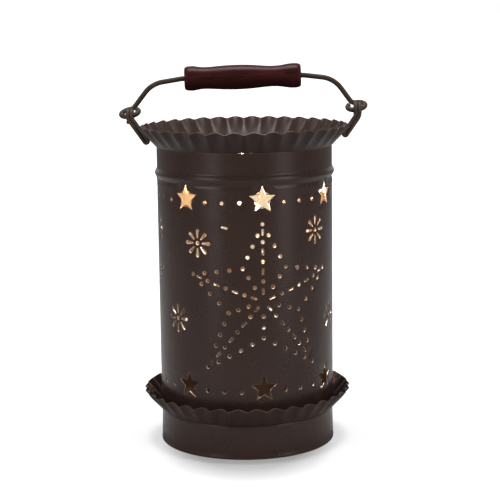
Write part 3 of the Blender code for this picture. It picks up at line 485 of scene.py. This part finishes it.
def wall_offset(u, v):
    """How far the tin stands off the plain cylinder: the bead, a crease and a swell below it, the seam."""
    away = abs(v - BEAD_V) / BEAD_HALF
    bead = BEAD_OUT * (0.5 + 0.5 * math.cos(math.pi * away)) ** 0.7 if away < 1 else 0.0
    bead -= CREASE_IN * math.exp(-(((v - BEAD_V + CREASE_BELOW) / CREASE_WIDE) ** 2))
    bead += SWELL_OUT * math.exp(-(((v - BEAD_V + SWELL_BELOW) / SWELL_WIDE) ** 2))
    off = abs((u - SEAM_U + TURN / 2) % TURN - TURN / 2)
    ridge = SEAM_OUT * (1 - smooth_step((off - SEAM_HALF) / SEAM_EASE))
    ridge *= smooth_step(v / MOUTH_EASE) * smooth_step((SHELL_H - v) / MOUTH_EASE)
    return bead + ridge


def mouth_rise(u, v):
    """The mouth all but meets the wax pan, except at one small nick in front, where light gets out."""
    rise = NICK_RISE if NICK[0] < u < NICK[1] else MOUTH_RISE
    return rise * smooth_step((v - SHELL_H + MOUTH_EASE) / MOUTH_EASE)


def on_wall(u, v, depth=0.0):
    """The point at this place on the tin's face, or a negative depth behind it."""
    angle = u / SHELL_R
    radius = SHELL_R + wall_offset(u, v) + depth
    return (radius * math.sin(angle), -radius * math.cos(angle), SHELL_Z + v + mouth_rise(u, v))


def capsule(u, v, angle, length, inner, outer, grow, count):
    """Points round a slot that widens from its first end, or round a dot as long as it is wide."""
    small, large = inner / 2, outer / 2
    start, end = small - length / 2, length / 2 - large
    points = []
    for step in range(count):
        a = 2 * math.pi * (step + 0.5) / count
        radius = (large if math.cos(a) > 0 else small) + grow
        x = (end if math.cos(a) > 0 else start) + radius * math.cos(a)
        y = radius * math.sin(a)
        points.append(
            (u + x * math.cos(angle) - y * math.sin(angle), v + x * math.sin(angle) + y * math.cos(angle))
        )
    return points


def star_outline(u, v, radius, waist, grow, split):
    """Points round a five-pointed star, grown outwards, with each of its ten sides split."""
    sharpest = 2.2
    corners = []
    for index in range(10):
        r = radius * (1.0 if index % 2 == 0 else waist)
        a = math.pi / 2 + index * math.pi / 5
        corners.append(Vector((r * math.cos(a), r * math.sin(a))))
    moved = []
    for before, corner, after in zip(corners[-1:] + corners[:-1], corners, corners[1:] + corners[:1]):
        e1 = (corner - before).normalized()
        e2 = (after - corner).normalized()
        n1 = Vector((e1.y, -e1.x))
        n2 = Vector((e2.y, -e2.x))
        bisector = (n1 + n2) / (1 + n1.dot(n2))
        if bisector.length > sharpest:
            bisector *= sharpest / bisector.length
        moved.append(corner + bisector * grow)
    points = []
    for a, b in zip(moved, moved[1:] + moved[:1]):
        for step in range(split):
            p = a.lerp(b, step / split)
            points.append((u + p.x, v + p.y))
    return points


def dot_mark(u, v):
    return (u, v, 0.0, DOT, DOT, DOT)


def dash_mark(u, v, angle):
    return (u, v, angle, DASH_LENGTH, DASH_WIDTH, DASH_WIDTH)


def star_marks(centre, height):
    """The big star: dots along its outline, dashes and dots down its arms, dots in its notches."""
    lean = 1.3
    top, side, lower = (0.0, 54.0), (52.8, 18.1), (40.5, -47.6)
    notch_up, notch_side, notch_low = (15.6, 23.3), (25.9, -8.0), (0.0, -26.2)
    right = [
        (top, notch_up, 4),
        (notch_up, side, 4),
        (side, notch_side, 4),
        (notch_side, lower, 5),
        (lower, notch_low, 5),
    ]

    def mirror(p):
        return (-p[0], p[1])

    def leaning(p):
        at_side = (abs(p[0]), p[1]) in (side, notch_up, notch_side)
        return (p[0] + lean, p[1]) if at_side else p

    edges = right + [(mirror(b), mirror(a), n) for a, b, n in reversed(right)]
    marks = []
    for a, b, n in edges:
        a, b = leaning(a), leaning(b)
        for step in range(n):
            t = step / n
            marks.append(dot_mark(centre + a[0] + (b[0] - a[0]) * t, height + a[1] + (b[1] - a[1]) * t))
    spines = [(top, 7), (side, 7), (mirror(side), 7), (lower, 8), (mirror(lower), 8)]
    first, both_ends = 7.0, 12.5
    for tip, n in spines:
        tip = leaning(tip)
        length = math.hypot(*tip)
        angle = math.atan2(tip[1], tip[0])
        for mark in range(n):
            reach = first + (length - both_ends) * mark / (n - 1)
            at = (centre + reach * math.cos(angle), height + reach * math.sin(angle))
            marks.append(dash_mark(*at, angle) if mark % 2 == 0 else dot_mark(*at))
    for notch in (notch_up, notch_side, mirror(notch_up), mirror(notch_side), notch_low):
        notch = leaning(notch)
        for share in (0.42, 0.72):
            marks.append(dot_mark(centre + notch[0] * share, height + notch[1] * share))
    return marks


def flower_marks(centre, height):
    """A dot with eight petals, each wider at its outer end."""
    middle, length, inner, outer = 6.8, 6.0, 0.8, 2.1
    marks = [dot_mark(centre, height)]
    for petal in range(8):
        angle = 2 * math.pi * petal / 8
        at = (centre + middle * math.cos(angle), height + middle * math.sin(angle))
        marks.append((*at, angle, length, inner, outer))
    return marks


def pattern():
    """Every mark as (u, v, angle, length, inner width, outer width), and the cut stars as (u, v)."""
    marks, stars = [], []
    # the front's big star, and two more round the back
    for centre in (STAR_U, STAR_U + TURN / 3, STAR_U - 143.0):
        marks += star_marks(centre, STAR_V)
        marks += flower_marks(centre - 47.4, 128.6)
        marks += flower_marks(centre + 44.4, 134.8)
    marks += flower_marks(STAR_U - 67.4, 72.9)
    marks += flower_marks(STAR_U + 66.5, 70.0)
    marks.append(dash_mark(STAR_U - 26.8, 140.2, math.radians(-15.0)))
    # two rows of cut stars, with three dots between each star and the next
    around, dot_step, dot_drop = 7, 12.5, 2.2
    for height in (159.4, 25.8):
        for index in range(around):
            spot = STAR_U + index * TURN / around
            stars.append((spot, height))
            between = spot + TURN / (2 * around)
            for dot in (-1, 0, 1):
                marks.append(dot_mark(between + dot * dot_step, height - dot_drop))

    def wrap(u):
        return (u - SEAM_U) % TURN + SEAM_U

    marks = [(wrap(m[0]), *m[1:]) for m in marks]
    stars = [(wrap(u), v) for u, v in stars]
    return marks, stars


# Edge of a hole, from the face to the back: how far it has grown past the opening, and its depth.
DIMPLE = (
    (0.85, 0.0), (0.5, -0.07), (0.22, -0.3), (0.06, -0.62), (0.0, -0.95),
    (0.1, -1.08), (0.3, -1.0), (0.48, -0.75), (0.85, -TIN),
)  # fmt: skip
STAR_EDGE = (
    (0.5, 0.0), (0.26, -0.05), (0.08, -0.16), (0.0, -0.34),
    (0.0, -0.66), (0.12, -0.78), (0.3, -0.72), (0.5, -TIN),
)  # fmt: skip
# How rubbed and how bare the tin is at each level of an edge, between its first and its last.
EDGE_WEAR = (0.0, 0.3, 0.8, 1.0, 1.0, 0.8, 0.4)
EDGE_CUT = (0.0, 0.35, 0.8, 1.0, 1.0, 0.6, 0.0)
RIM_WEAR = 0.5

Punch = namedtuple("Punch", "u v reach edge outline")


def all_punches():
    """Every hole, with outline(grow) for the points round it."""
    marks, stars = pattern()
    punches = []
    for mark in marks:
        u, v, _, length, _, width = mark
        outline = partial(capsule, *mark, count=20 if length > width else 16)
        punches.append(Punch(u, v, length / 2 + DIMPLE[0][0], DIMPLE, outline))
    for u, v in stars:
        outline = partial(star_outline, u, v, CUT_STAR_R, CUT_STAR_WAIST, split=4)
        punches.append(Punch(u, v, CUT_STAR_REACH, STAR_EDGE, outline))
    return punches


# The plain sheet's rows and columns. Extra columns are this far from the seam and the nick's ends.
ROW_AT_BEAD, ROW_AT_END, ROW_BETWEEN = 0.4, 0.8, 3.1
COLUMNS = 126
SEAM_COLUMNS = (1.6, 2.4, 2.7, 3.0, 3.3, 3.6)
NICK_COLUMN = 0.15


def grid_lines():
    """Where the plain sheet is divided: closer at its bead, its ends, its seam and its nick."""
    rows = []
    v = 0.0
    while v < SHELL_H - 1e-6:
        rows.append(v)
        if abs(v - BEAD_V + 2.0) < 7.0:
            v += ROW_AT_BEAD
        elif v < 1.5 or v > SHELL_H - 2.0:
            v += ROW_AT_END
        else:
            v += ROW_BETWEEN
    rows.append(SHELL_H)
    columns = [SEAM_U + TURN * i / COLUMNS for i in range(COLUMNS + 1)]
    for inset in SEAM_COLUMNS:
        columns += [SEAM_U + inset, SEAM_U + TURN - inset]
    for edge in NICK:
        columns += [edge - NICK_COLUMN, edge + NICK_COLUMN]
    return rows, sorted(columns)


def sheet_points(punches, rows, columns):
    """The grid's points, without those that come too near a punch. Its borders keep all of theirs."""
    cell, gap = 12, 0.75
    nearby = {}
    for punch in punches:
        cu, cv = int(punch.u // cell), int(punch.v // cell)
        for du in (-1, 0, 1):
            for dv in (-1, 0, 1):
                nearby.setdefault((cu + du, cv + dv), []).append(punch)

    def clear(u, v):
        close = nearby.get((int(u // cell), int(v // cell)), ())
        return all(math.hypot(u - p.u, v - p.v) >= p.reach + gap for p in close)

    points = []
    for u in columns:
        for v in rows:
            border = u in (columns[0], columns[-1]) or v in (rows[0], rows[-1])
            if border or clear(u, v):
                points.append((u, v))
    return points


def flat_sheet(punches):
    """The sheet's points and triangles before it is bent, and the ring of points round each punch."""
    points, edges, rings = [], [], []
    for punch in punches:
        outline = punch.outline(punch.edge[0][0])
        start, count = len(points), len(outline)
        points += outline
        edges += [(start + i, start + (i + 1) % count) for i in range(count)]
        rings.append(range(start, start + count))
    points += sheet_points(punches, *grid_lines())
    out = geometry.delaunay_2d_cdt([Vector(p) for p in points], edges, [], 0, 1e-5)
    flat, _, triangles, origin = out[:4]
    index_of = {old: new for new, olds in enumerate(origin) for old in olds}
    rings = [[index_of[i] for i in ring] for ring in rings]
    owner = {i: number for number, ring in enumerate(rings) for i in ring}

    def covered(triangle):
        """Not one that has all its corners on the same punch."""
        owners = {owner.get(i) for i in triangle}
        return len(owners) > 1 or None in owners

    return flat, [triangle for triangle in triangles if covered(triangle)], rings


def punched_shell():
    """The sheet with its holes, bent round, with a dished edge at every hole."""
    punches = all_punches()
    flat, triangles, rings = flat_sheet(punches)
    total = len(flat)
    verts = [on_wall(p.x, p.y) for p in flat] + [on_wall(p.x, p.y, -TIN) for p in flat]
    wear = [0.0] * (2 * total)
    cut = [0.0] * (2 * total)
    faces = []
    for a, b, c in triangles:
        faces.append((a, b, c))
        faces.append((total + c, total + b, total + a))
    # the sheet's two cut edges, top and bottom
    for row in (0.0, SHELL_H):
        rim = sorted((p.x, i) for i, p in enumerate(flat) if abs(p.y - row) < 1e-4)
        for (_, a), (_, b) in zip(rim, rim[1:]):
            faces.append((a, b, total + b, total + a))
            wear[a] = wear[b] = RIM_WEAR
    # the edge of each hole, level by level
    for punch, ring in zip(punches, rings):
        levels = [ring]
        for (grow, depth), rubbed, bare in zip(punch.edge[1:-1], EDGE_WEAR, EDGE_CUT):
            outline = punch.outline(grow)
            levels.append(list(range(len(verts), len(verts) + len(outline))))
            verts += [on_wall(u, v, depth) for u, v in outline]
            wear += [rubbed] * len(outline)
            cut += [bare] * len(outline)
        levels.append([total + i for i in ring])
        for here, below in zip(levels, levels[1:]):
            for i in range(len(ring)):
                j = (i + 1) % len(ring)
                faces.append((here[i], here[j], below[j], below[i]))
    obj = make("punched_shell", verts, faces, TIN_PAINT)
    attribute(obj, "wear", wear)
    attribute(obj, "cut", cut)
    obj.data.materials.append(TIN_LINING)
    for face in obj.data.polygons:
        face.material_index = int(all(total <= i < 2 * total for i in face.vertices))
    fix_mesh(obj, 55.0, weld=0.005, thin=None)
    return obj


# ------------------------------------------------------------------ the crimped pans
def crimped_pan(name, seat, hole=0.0):
    """A pan of thin tin: flat floor, small corner and a fluted wall."""
    steps = FLUTES * 14
    rows = 12
    wall = Vector((PAN_RIM_R - PAN_FLOOR_R, PAN_DEPTH - TIN)).normalized()
    out = Vector((wall.y, -wall.x))
    length = math.hypot(PAN_RIM_R - PAN_FLOOR_R, PAN_DEPTH - TIN)
    slope = math.atan2(wall.y, wall.x)
    tangent = PAN_CORNER_R * math.tan(slope / 2)
    floor_edge = PAN_FLOOR_R - tangent
    bend = arc_points((floor_edge, PAN_CORNER_R), PAN_CORNER_R, -90.0, -90.0 + math.degrees(slope), 5)
    # (radius, height, share of the wall's length)
    profile = [(r, 0.0, 0.0) for r in (hole, 12.0, 30.0, 46.0, 58.0, floor_edge)]
    profile += [(r, z, 0.0) for r, z in bend[1:]]
    for row in range(1, rows + 1):
        along = tangent + (length - tangent) * row / rows
        profile.append((PAN_FLOOR_R + wall.x * along, wall.y * along, along / length))

    def surface(angle, r, z, share, inward):
        if share > 0:
            x = FLUTES * angle
            wave = math.cos(x) + FLUTE_FLATTER * math.cos(2 * x) - FLUTE_FLATTER
            depth = (FLUTE_FOOT + (FLUTE_RIM - FLUTE_FOOT) * smooth_step(share * 1.15)) * wave
            r += out.x * (depth - inward)
            z += out.y * (depth - inward)
        else:
            z += inward
        return (r * math.sin(angle), -r * math.cos(angle), seat + z)

    def sheet(inward):
        angles = [2 * math.pi * step / steps for step in range(steps)]
        return [[surface(angle, r, z, share, inward) for angle in angles] for r, z, share in profile]

    rings = sheet(0.0) + sheet(TIN)[::-1]
    verts, faces = rings_to_mesh(rings, closed_rows=hole > 0.0)
    obj = make(name, verts, faces, TIN_PAINT)
    fix_mesh(obj, 60.0)
    heights = [v.co.z for v in obj.data.vertices]
    worn_from = max(heights) - 1.6 * MM
    attribute(obj, "wear", [smooth_step((z - worn_from) / (1.5 * MM)) * 0.3 for z in heights])
    attribute(obj, "matt", [1.0] * len(heights))
    return obj


# ------------------------------------------------------------------ the base ring
# The hem at the ring's foot: how far inside the foot's radius, and how high.
HEM = (
    (0.2, 2.0), (0.05, 1.7), (0.0, 1.0), (0.05, 0.35), (0.4, 0.0), (2.8, 0.0),
    (3.0, 0.25), (3.0, 0.6), (2.7, 0.8), (0.9, 0.9), (0.6, 1.3),
)  # fmt: skip


def base_ring():
    """A plain ring, a little wider at its hemmed foot, with the inlet at the back."""
    profile = [(RING_TOP_R - TIN, RING_H), (RING_TOP_R - 0.06, RING_H), (RING_TOP_R, RING_H - 0.1)]
    for step in range(1, 10):
        t = step / 10
        r = RING_TOP_R + (RING_FOOT_R - 0.2 - RING_TOP_R) * t
        profile.append((r, RING_H + (2.2 - RING_H) * t))
    profile += [(RING_FOOT_R - inset, z) for inset, z in HEM]
    ring = lathe("base_ring_skin", profile, 192, TIN_PAINT, 60.0)
    drill_inlet(ring)
    worn_to = 1.6 * MM
    wear = [smooth_step((worn_to - v.co.z) / worn_to) * 0.6 for v in ring.data.vertices]
    attribute(ring, "wear", wear)
    return ring


def drill_inlet(obj):
    """Cut the round inlet through the ring's back."""
    mesh = bpy.data.meshes.new("inlet_cutter")
    shape = bmesh.new()
    bmesh.ops.create_cone(
        shape, cap_ends=True, segments=40, radius1=INLET_R * MM, radius2=INLET_R * MM, depth=9.0 * MM
    )
    shape.to_mesh(mesh)
    shape.free()
    cutter = add_object("inlet_cutter", mesh)
    place = Matrix.Translation((0.0, RING_FOOT_R * MM, INLET_Z * MM))
    cutter.matrix_world = place @ Matrix.Rotation(math.pi / 2, 4, "X")
    modifier = obj.modifiers.new("cut", "BOOLEAN")
    modifier.object = cutter
    modifier.operation = "DIFFERENCE"
    bpy.context.view_layer.update()
    evaluated = obj.evaluated_get(bpy.context.evaluated_depsgraph_get())
    mesh = bpy.data.meshes.new_from_object(evaluated)
    obj.modifiers.clear()
    obj.data = mesh
    bpy.data.objects.remove(cutter)
    shade(mesh, 60.0)


# ------------------------------------------------------------------ ears, bail and grip
WIRE = 3.7
STRAND = 2.8
SPACING = 2.7
EYE_R = WIRE / 2 + 1.0 + STRAND / 2
EAR_GAP = 0.3
EAR_BEND = 8.0
STEM_Y = PIVOT.y - EYE_R
LOOP_R = 6.35
LOOP_TILT = math.radians(20.0)
LOOP_ENDS = (90.0, -220.0)
LEG_SLOPE = math.radians(53.0)
LEG_BEND = 4.0
SHOULDER_X = HALF_SPAN - 15.8
SHOULDER_DROP = 3.1
SHOULDER_BEND = 20.0
DIP_LEFT, DIP_RIGHT = math.radians(9.0), math.radians(-8.0)
LEG_Y = 2 * LOOP_R * math.cos(LOOP_TILT)
LEG_FOOT_Z = 2 * LOOP_R * math.sin(LOOP_TILT)
LEG_FOOT_RUN = LEG_BEND * math.tan((LEG_SLOPE - DIP_RIGHT) / 2)
LEG_FOOT_X = HALF_SPAN - LEG_FOOT_RUN
GRIP_Z = LEG_FOOT_Z + (LEG_FOOT_X - SHOULDER_X) * math.tan(LEG_SLOPE) + SHOULDER_DROP
GRIP_HALF = 42.2
GRIP_BORE_R = 2.15


def split_start(line, parts):
    """The line with its first stretch divided."""
    return [line[0].lerp(line[1], t / parts) for t in range(parts)] + line[1:]


def ear_path(side, share):
    """From the ear's foot, at its share of the pan's wall, up to its stem and round its eye."""
    wall = Vector((PAN_RIM_R - PAN_FLOOR_R, 0.0, PAN_DEPTH - TIN))
    out = Vector((wall.z, 0.0, -wall.x)).normalized()
    floor = Vector((PAN_FLOOR_R, 0.0, UPPER_PAN_Z))
    half = (SPACING + STRAND) / 2

    def beside(share):
        return floor + wall * share + out * (EAR_GAP + half - FLUTE_RIM * share)

    foot = beside(share)
    climb = beside(1.0) - foot
    eye_z = PIVOT.z + side * HALF_SPAN * math.sin(PIVOT_TILT)
    corner = foot + climb * ((HALF_SPAN - foot.x) / climb.x)
    top = Vector((HALF_SPAN, 0.0, eye_z))
    turn = math.pi / 2 - math.atan2(climb.z, climb.x)
    bend = min(EAR_BEND, (eye_z - corner.z) / math.tan(turn / 2))
    points = split_start(rounded([foot, corner, top], [bend], 8)[:-1], 4)
    points = [Vector((p.x, STEM_Y, p.z)) for p in points]
    for y, z in arc_points((PIVOT.y, eye_z), EYE_R, 180.0, -115.0, 40):
        points.append(Vector((HALF_SPAN, y, z)))
    return [Vector((side * p.x, p.y, p.z)) for p in points]


def ear(name, side, share):
    """One wire doubled into a hairpin: two strands side by side, closed round at the foot."""
    path = ear_path(side, share)
    last = len(path) - 1
    out = Vector((1.0, 0.0, 0.0))
    one, other = [], []
    for i, point in enumerate(path):
        tangent = (path[min(i + 1, last)] - path[max(i - 1, 0)]).normalized()
        across = (out - tangent * out.dot(tangent)).normalized() * (SPACING / 2)
        one.append(point + across)
        other.append(point - across)
    middle = (one[0] + other[0]) / 2
    aside = one[0] - middle
    down = (path[0] - path[1]).normalized()
    bend = []
    for step in range(1, 8):
        angle = math.pi * step / 8
        bend.append(middle + aside * math.cos(angle) + down * aside.length * 0.9 * math.sin(angle))
    return wire(name, one[::-1] + bend + other, STRAND, WIRE_PAINT, 14)


def bail_half(dip):
    """From the grip's middle to the free end of a loop whose outer end dips."""
    turn = Matrix.Rotation(dip, 3, "Y")
    eye = Vector((HALF_SPAN, 0.0, 0.0))
    outward = turn @ Vector((1.0, 0.0, 0.0))
    back = turn @ Vector((0.0, math.cos(LOOP_TILT), math.sin(LOOP_TILT)))
    rear = eye + back * 2 * LOOP_R
    corners = [
        Vector((0.0, LEG_Y, GRIP_Z)),
        Vector((GRIP_HALF + 2.0, LEG_Y, GRIP_Z)),
        Vector((SHOULDER_X, LEG_Y, GRIP_Z - SHOULDER_DROP)),
        rear - outward * LEG_FOOT_RUN,
        rear,
    ]
    half = split_start(rounded(corners, [SHOULDER_BEND, SHOULDER_BEND, LEG_BEND], 10)[:-1], 6)
    middle = eye + back * LOOP_R
    for across, deep in arc_points((0.0, 0.0), LOOP_R, *LOOP_ENDS, 44):
        half.append(middle + outward * across + back * deep)
    return half


def bail():
    left = [Vector((-p.x, p.y, p.z)) for p in reversed(bail_half(DIP_LEFT)[1:])]
    return wire("bail_rod", left + bail_half(DIP_RIGHT)[1:], WIRE, WIRE_PAINT, 18)


def to_pivot(obj):
    """Move what was drawn about the bail's own axis to its place in the ears."""
    place = Matrix.Translation(PIVOT * MM) @ Matrix.Rotation(-PIVOT_TILT, 4, "Y")
    obj.data.transform(place)
    obj.data.update()
    return obj


def grip():
    """The turned grip, from its radius at each place along the wire."""
    line = [
        (-42.2, 7.3), (-41.9, 7.9), (-41.0, 8.45), (-39.6, 8.8), (-37.6, 8.95), (-35.4, 8.9), (-33.4, 8.6),
        (-31.4, 8.2), (-28.8, 7.98), (-26.2, 7.95), (-22.6, 8.1), (-18.4, 8.4), (-13.4, 8.72), (-8.4, 8.9),
        (-3.4, 8.95), (1.6, 8.85), (6.4, 8.6), (11.2, 8.2), (15.6, 7.8), (19.4, 7.55), (22.4, 7.5),
        (25.4, 7.62), (28.2, 7.9), (30.8, 8.35), (33.2, 8.72), (35.6, 8.92), (37.8, 8.95), (39.7, 8.78),
        (41.1, 8.4), (41.95, 7.85), (42.2, 7.25),
    ]  # fmt: skip
    mouth_r = 2.9
    profile = [(GRIP_BORE_R, GRIP_HALF), (GRIP_BORE_R, -GRIP_HALF), (mouth_r, -GRIP_HALF)]
    profile += [(p.y, p.x) for p in spline([(x, r, 0.0) for x, r in line], 3)]
    profile.append((mouth_r, GRIP_HALF))
    obj = lathe("grip_wood", profile, 72, WOOD, 50.0)
    obj.data.transform(Matrix.Rotation(math.pi / 2, 4, "Y"))
    obj.data.transform(Matrix.Translation(Vector((0.0, LEG_Y, GRIP_Z)) * MM))
    return obj


# ------------------------------------------------------------------ the bulb
GLASS_R = 24.0
GLASS_NECK_R = 12.0
GLASS_WALL = 0.6
COIL_TURNS = 34
COIL_HALF = 10.0
COIL_ARCH = 3.4
COIL_R = 0.42


def bulb_parts():
    """The envelope and the filament, fitted to the boxes of the solids that they replace."""
    low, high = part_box("bulb_glass")
    low, high = low / MM, high / MM
    top, foot = high.z, low.z
    outer = [(0.0, top)]
    outer += arc_points((0.0, top - GLASS_R), GLASS_R, 88.0, -32.0, 28)
    r, z = outer[-1]
    neck_top = foot + 7.0
    bend = [(r, z, 0), (16.6, z - 8.4, 0), (13.2, neck_top + 4.0, 0), (GLASS_NECK_R, neck_top, 0)]
    outer += [(p.x, p.y) for p in spline(bend, 6)[1:]]
    outer.append((GLASS_NECK_R, foot))
    inner = [(max(r - GLASS_WALL, 0.0), z) for r, z in reversed(outer[1:])] + [(0.0, top - GLASS_WALL)]
    envelope = lathe("bulb_envelope", outer + inner, 48, GLASS, 60.0, axis_closed=True)

    low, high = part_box("bulb_filament")
    foot = (low / MM).z + 0.45
    coil = []
    steps = COIL_TURNS * 10
    for step in range(steps + 1):
        t = step / steps
        share = 2 * t - 1
        z = foot + COIL_ARCH * (1 - share**2)
        a = 2 * math.pi * COIL_TURNS * t
        coil.append((COIL_HALF * share, COIL_R * math.cos(a), z + COIL_R * math.sin(a)))
    filament = wire("filament_coil", coil, 0.2, FILAMENT, 6)
    return envelope, filament


# ------------------------------------------------------------------ put together
shell = punched_shell()
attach(shell, "lantern")
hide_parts("body_shell")
pan = crimped_pan("drip_pan", LOWER_PAN_Z, RISER_HOLE_R)
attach(pan, "lantern")
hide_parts("lower_pan")
ring = base_ring()
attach(ring, "lantern")
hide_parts("base_ring")
dish = crimped_pan("wax_dish", UPPER_PAN_Z)
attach(dish, "wax_pan")
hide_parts("upper_pan")
for name, side, share in (("ear_left", -1, 0.38), ("ear_right", 1, 0.62)):
    made = ear(name + "_wire", side, share)
    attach(made, "wax_pan")
    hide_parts(name)
rod = to_pivot(bail())
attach(rod, "bail")
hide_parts("bail_wire")
wood = to_pivot(grip())
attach(wood, "grip")
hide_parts("wood_grip")
envelope, filament = bulb_parts()
for piece, node, slot in ((envelope, "bulb_glass", "clear_glass"), (filament, "bulb_filament", "tungsten")):
    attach(piece, "lantern")
    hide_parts(node)

FINISH_OF = {
    "painted_tin": TIN_PAINT,
    "painted_wire": WIRE_PAINT,
    "stained_wood": WOOD,
    "black_rubber": RUBBER,
    "brass": BRASS,
    "plated_steel": STEEL,
    "card_liner": CARD,
    "dark_moulding": MOULDING,
    "clear_glass": GLASS,
    "black_glass": BLACK_GLASS,
    "tungsten": STEEL,
}
slot_of = {part["node"]: part["material_slot"] for part in frame["record"]["subparts"]}
for name, node in frame["nodes"].items():
    node.data.materials.clear()
    node.data.materials.append(FINISH_OF[slot_of[name]])
    shade(node.data, 40.0)


# ------------------------------------------------------------------ stage, in metres
FLOOR_R = 30.0
WORLD_LIGHT = 0.3


def floor_glow_with_painted_shadow(n, path):
    """How strongly the floor shines where it is seen: less beside the ring and least in front of it, which
    is a painted shadow, with a little painted light added just beside the ring.
    """
    seen = n.math("MAXIMUM", path["Is Camera Ray"], path["Is Transmission Ray"])
    away = n.length(n.place)
    # Painted shadow: the glow drops close in front of the ring.
    near = n.length(n.mapped(Location=(0.0, 0.035, 0.0), Scale=(1.35, 1.0, 1.0)))
    level = n.math("ADD", n.range(near, 0.05, 0.085, 0.1, 0.44), n.range(away, 0.08, 1.6, 0.0, 0.75))
    # Painted light: a little glow is added just beside the ring.
    across = n.math("ABSOLUTE", n.axis(n.place, "X"))
    beside = n.math("MULTIPLY", n.range(across, 0.045, 0.066, 0.0, 0.1), n.range(away, 0.078, 0.1, 1.0, 0.0))
    return n.math("MULTIPLY", seen, n.math("ADD", level, beside))


def floor_plane():
    mesh = bpy.data.meshes.new("floor")
    shape = bmesh.new()
    bmesh.ops.create_circle(shape, cap_ends=True, segments=96, radius=FLOOR_R)
    shape.to_mesh(mesh)
    shape.free()
    n = Nodes("floor_paint")
    tint = n.ramp(n.noise(1.5), (0.3, (0.54, 0.54, 0.54)), (0.7, (0.56, 0.56, 0.56)))
    n.set(colour=tint, rough=0.95, specular=0.05, emit=(1.0, 1.0, 1.0))
    n.set(emit_strength=floor_glow_with_painted_shadow(n, n.add("ShaderNodeLightPath").outputs))
    mesh.materials.append(n.material)
    return add_object("floor", mesh)


def studio():
    """White where the camera or glass sees it, dim as a light, and brighter at the back for gloss."""
    world = bpy.data.worlds.new("studio")
    bpy.context.scene.world = world
    world.use_nodes = True
    tree = world.node_tree
    background = tree.nodes["Background"]
    background.inputs["Color"].default_value = (1.0, 1.0, 1.0, 1.0)
    light = tree.nodes.new("ShaderNodeLightPath").outputs
    place = tree.nodes.new("ShaderNodeTexCoord").outputs["Generated"]
    axes = tree.nodes.new("ShaderNodeSeparateXYZ")
    tree.links.new(place, axes.inputs[0])
    behind = tree.nodes.new("ShaderNodeMapRange")
    tree.links.new(axes.outputs["Y"], behind.inputs["Value"])
    for socket, value in (("From Min", 0.6), ("From Max", 1.0), ("To Min", 0.3), ("To Max", 1.1)):
        behind.inputs[socket].default_value = value

    def pick(ray, other, value):
        """The value for one kind of ray, and what was there before for the rest."""
        node = tree.nodes.new("ShaderNodeMix")
        tree.links.new(light[ray], node.inputs[0])
        for index, what in ((2, other), (3, value)):
            if isinstance(what, float):
                node.inputs[index].default_value = what
            else:
                tree.links.new(what, node.inputs[index])
        return node.outputs[0]

    level = pick("Is Glossy Ray", WORLD_LIGHT, behind.outputs[0])
    level = pick("Is Transmission Ray", level, 1.0)
    level = pick("Is Camera Ray", level, 1.0)
    tree.links.new(level, background.inputs["Strength"])


# name: place, target, size, watts
LAMPS = {
    "key": ((-1.15, -0.9, 0.8), (0.0, 0.0, 0.12), (0.7, 0.9), 7.2),
    "fill": ((1.15, -0.9, 0.75), (0.0, 0.0, 0.12), (0.7, 0.9), 7.2),
    "top": ((0.0, 0.08, 1.4), (0.0, 0.05, 0.0), (0.6, 0.6), 20.0),
    "card_left": ((-0.37, -0.46, 0.16), (0.0, 0.0, 0.15), (0.16, 0.42), 0.32),
    "card_right": ((0.45, -0.38, 0.16), (0.0, 0.0, 0.15), (0.17, 0.42), 0.32),
}
BULB_WATTS = 7.0
BULB_COLOUR = (1.0, 0.82, 0.58)
BULB_LIGHT_R = 0.009
BULB_LIGHT_Z = 0.174


def lights():
    """Soft lights at the sides and above, two low cards for the gloss, and the bulb's own light."""
    for name, (place, target, size, watts) in LAMPS.items():
        data = bpy.data.lights.new(name, "AREA")
        data.shape = "RECTANGLE"
        data.size, data.size_y = size
        data.energy = watts
        obj = add_object(name, data)
        obj.location = place
        obj.rotation_euler = (Vector(target) - Vector(place)).to_track_quat("-Z", "Y").to_euler()
        if name.startswith("card"):
            obj.visible_camera = False
    data = bpy.data.lights.new("lamp_glow", "POINT")
    data.energy = BULB_WATTS
    data.color = BULB_COLOUR
    data.shadow_soft_size = BULB_LIGHT_R
    obj = add_object("lamp_glow", data)
    obj.location = (0.0, 0.0, BULB_LIGHT_Z)
    obj.visible_camera = False


FOCAL_PX = 1466.3
PICTURE_PX = 500.0
SENSOR_MM = 36.0
EYE = Vector((0.0, -1.06, 0.31847))
PITCH, YAW, ROLL = 0.16715, 0.00309, -0.01269


def camera():
    data = bpy.data.cameras.new("camera")
    data.sensor_width = SENSOR_MM
    data.lens = FOCAL_PX * SENSOR_MM / PICTURE_PX
    obj = add_object("camera", data)
    ahead = Vector((math.sin(YAW) * math.cos(PITCH), math.cos(YAW) * math.cos(PITCH), -math.sin(PITCH)))
    right = Vector((math.cos(YAW), -math.sin(YAW), 0.0))
    up = right.cross(ahead)
    turned_right = right * math.cos(ROLL) + up * math.sin(ROLL)
    turned_up = up * math.cos(ROLL) - right * math.sin(ROLL)
    place = Matrix((turned_right, turned_up, -ahead)).transposed().to_4x4()
    place.translation = EYE
    obj.matrix_world = place
    bpy.context.scene.camera = obj


floor = floor_plane()
studio()
lights()
camera()
bpy.context.scene.view_settings.view_transform = "Standard"
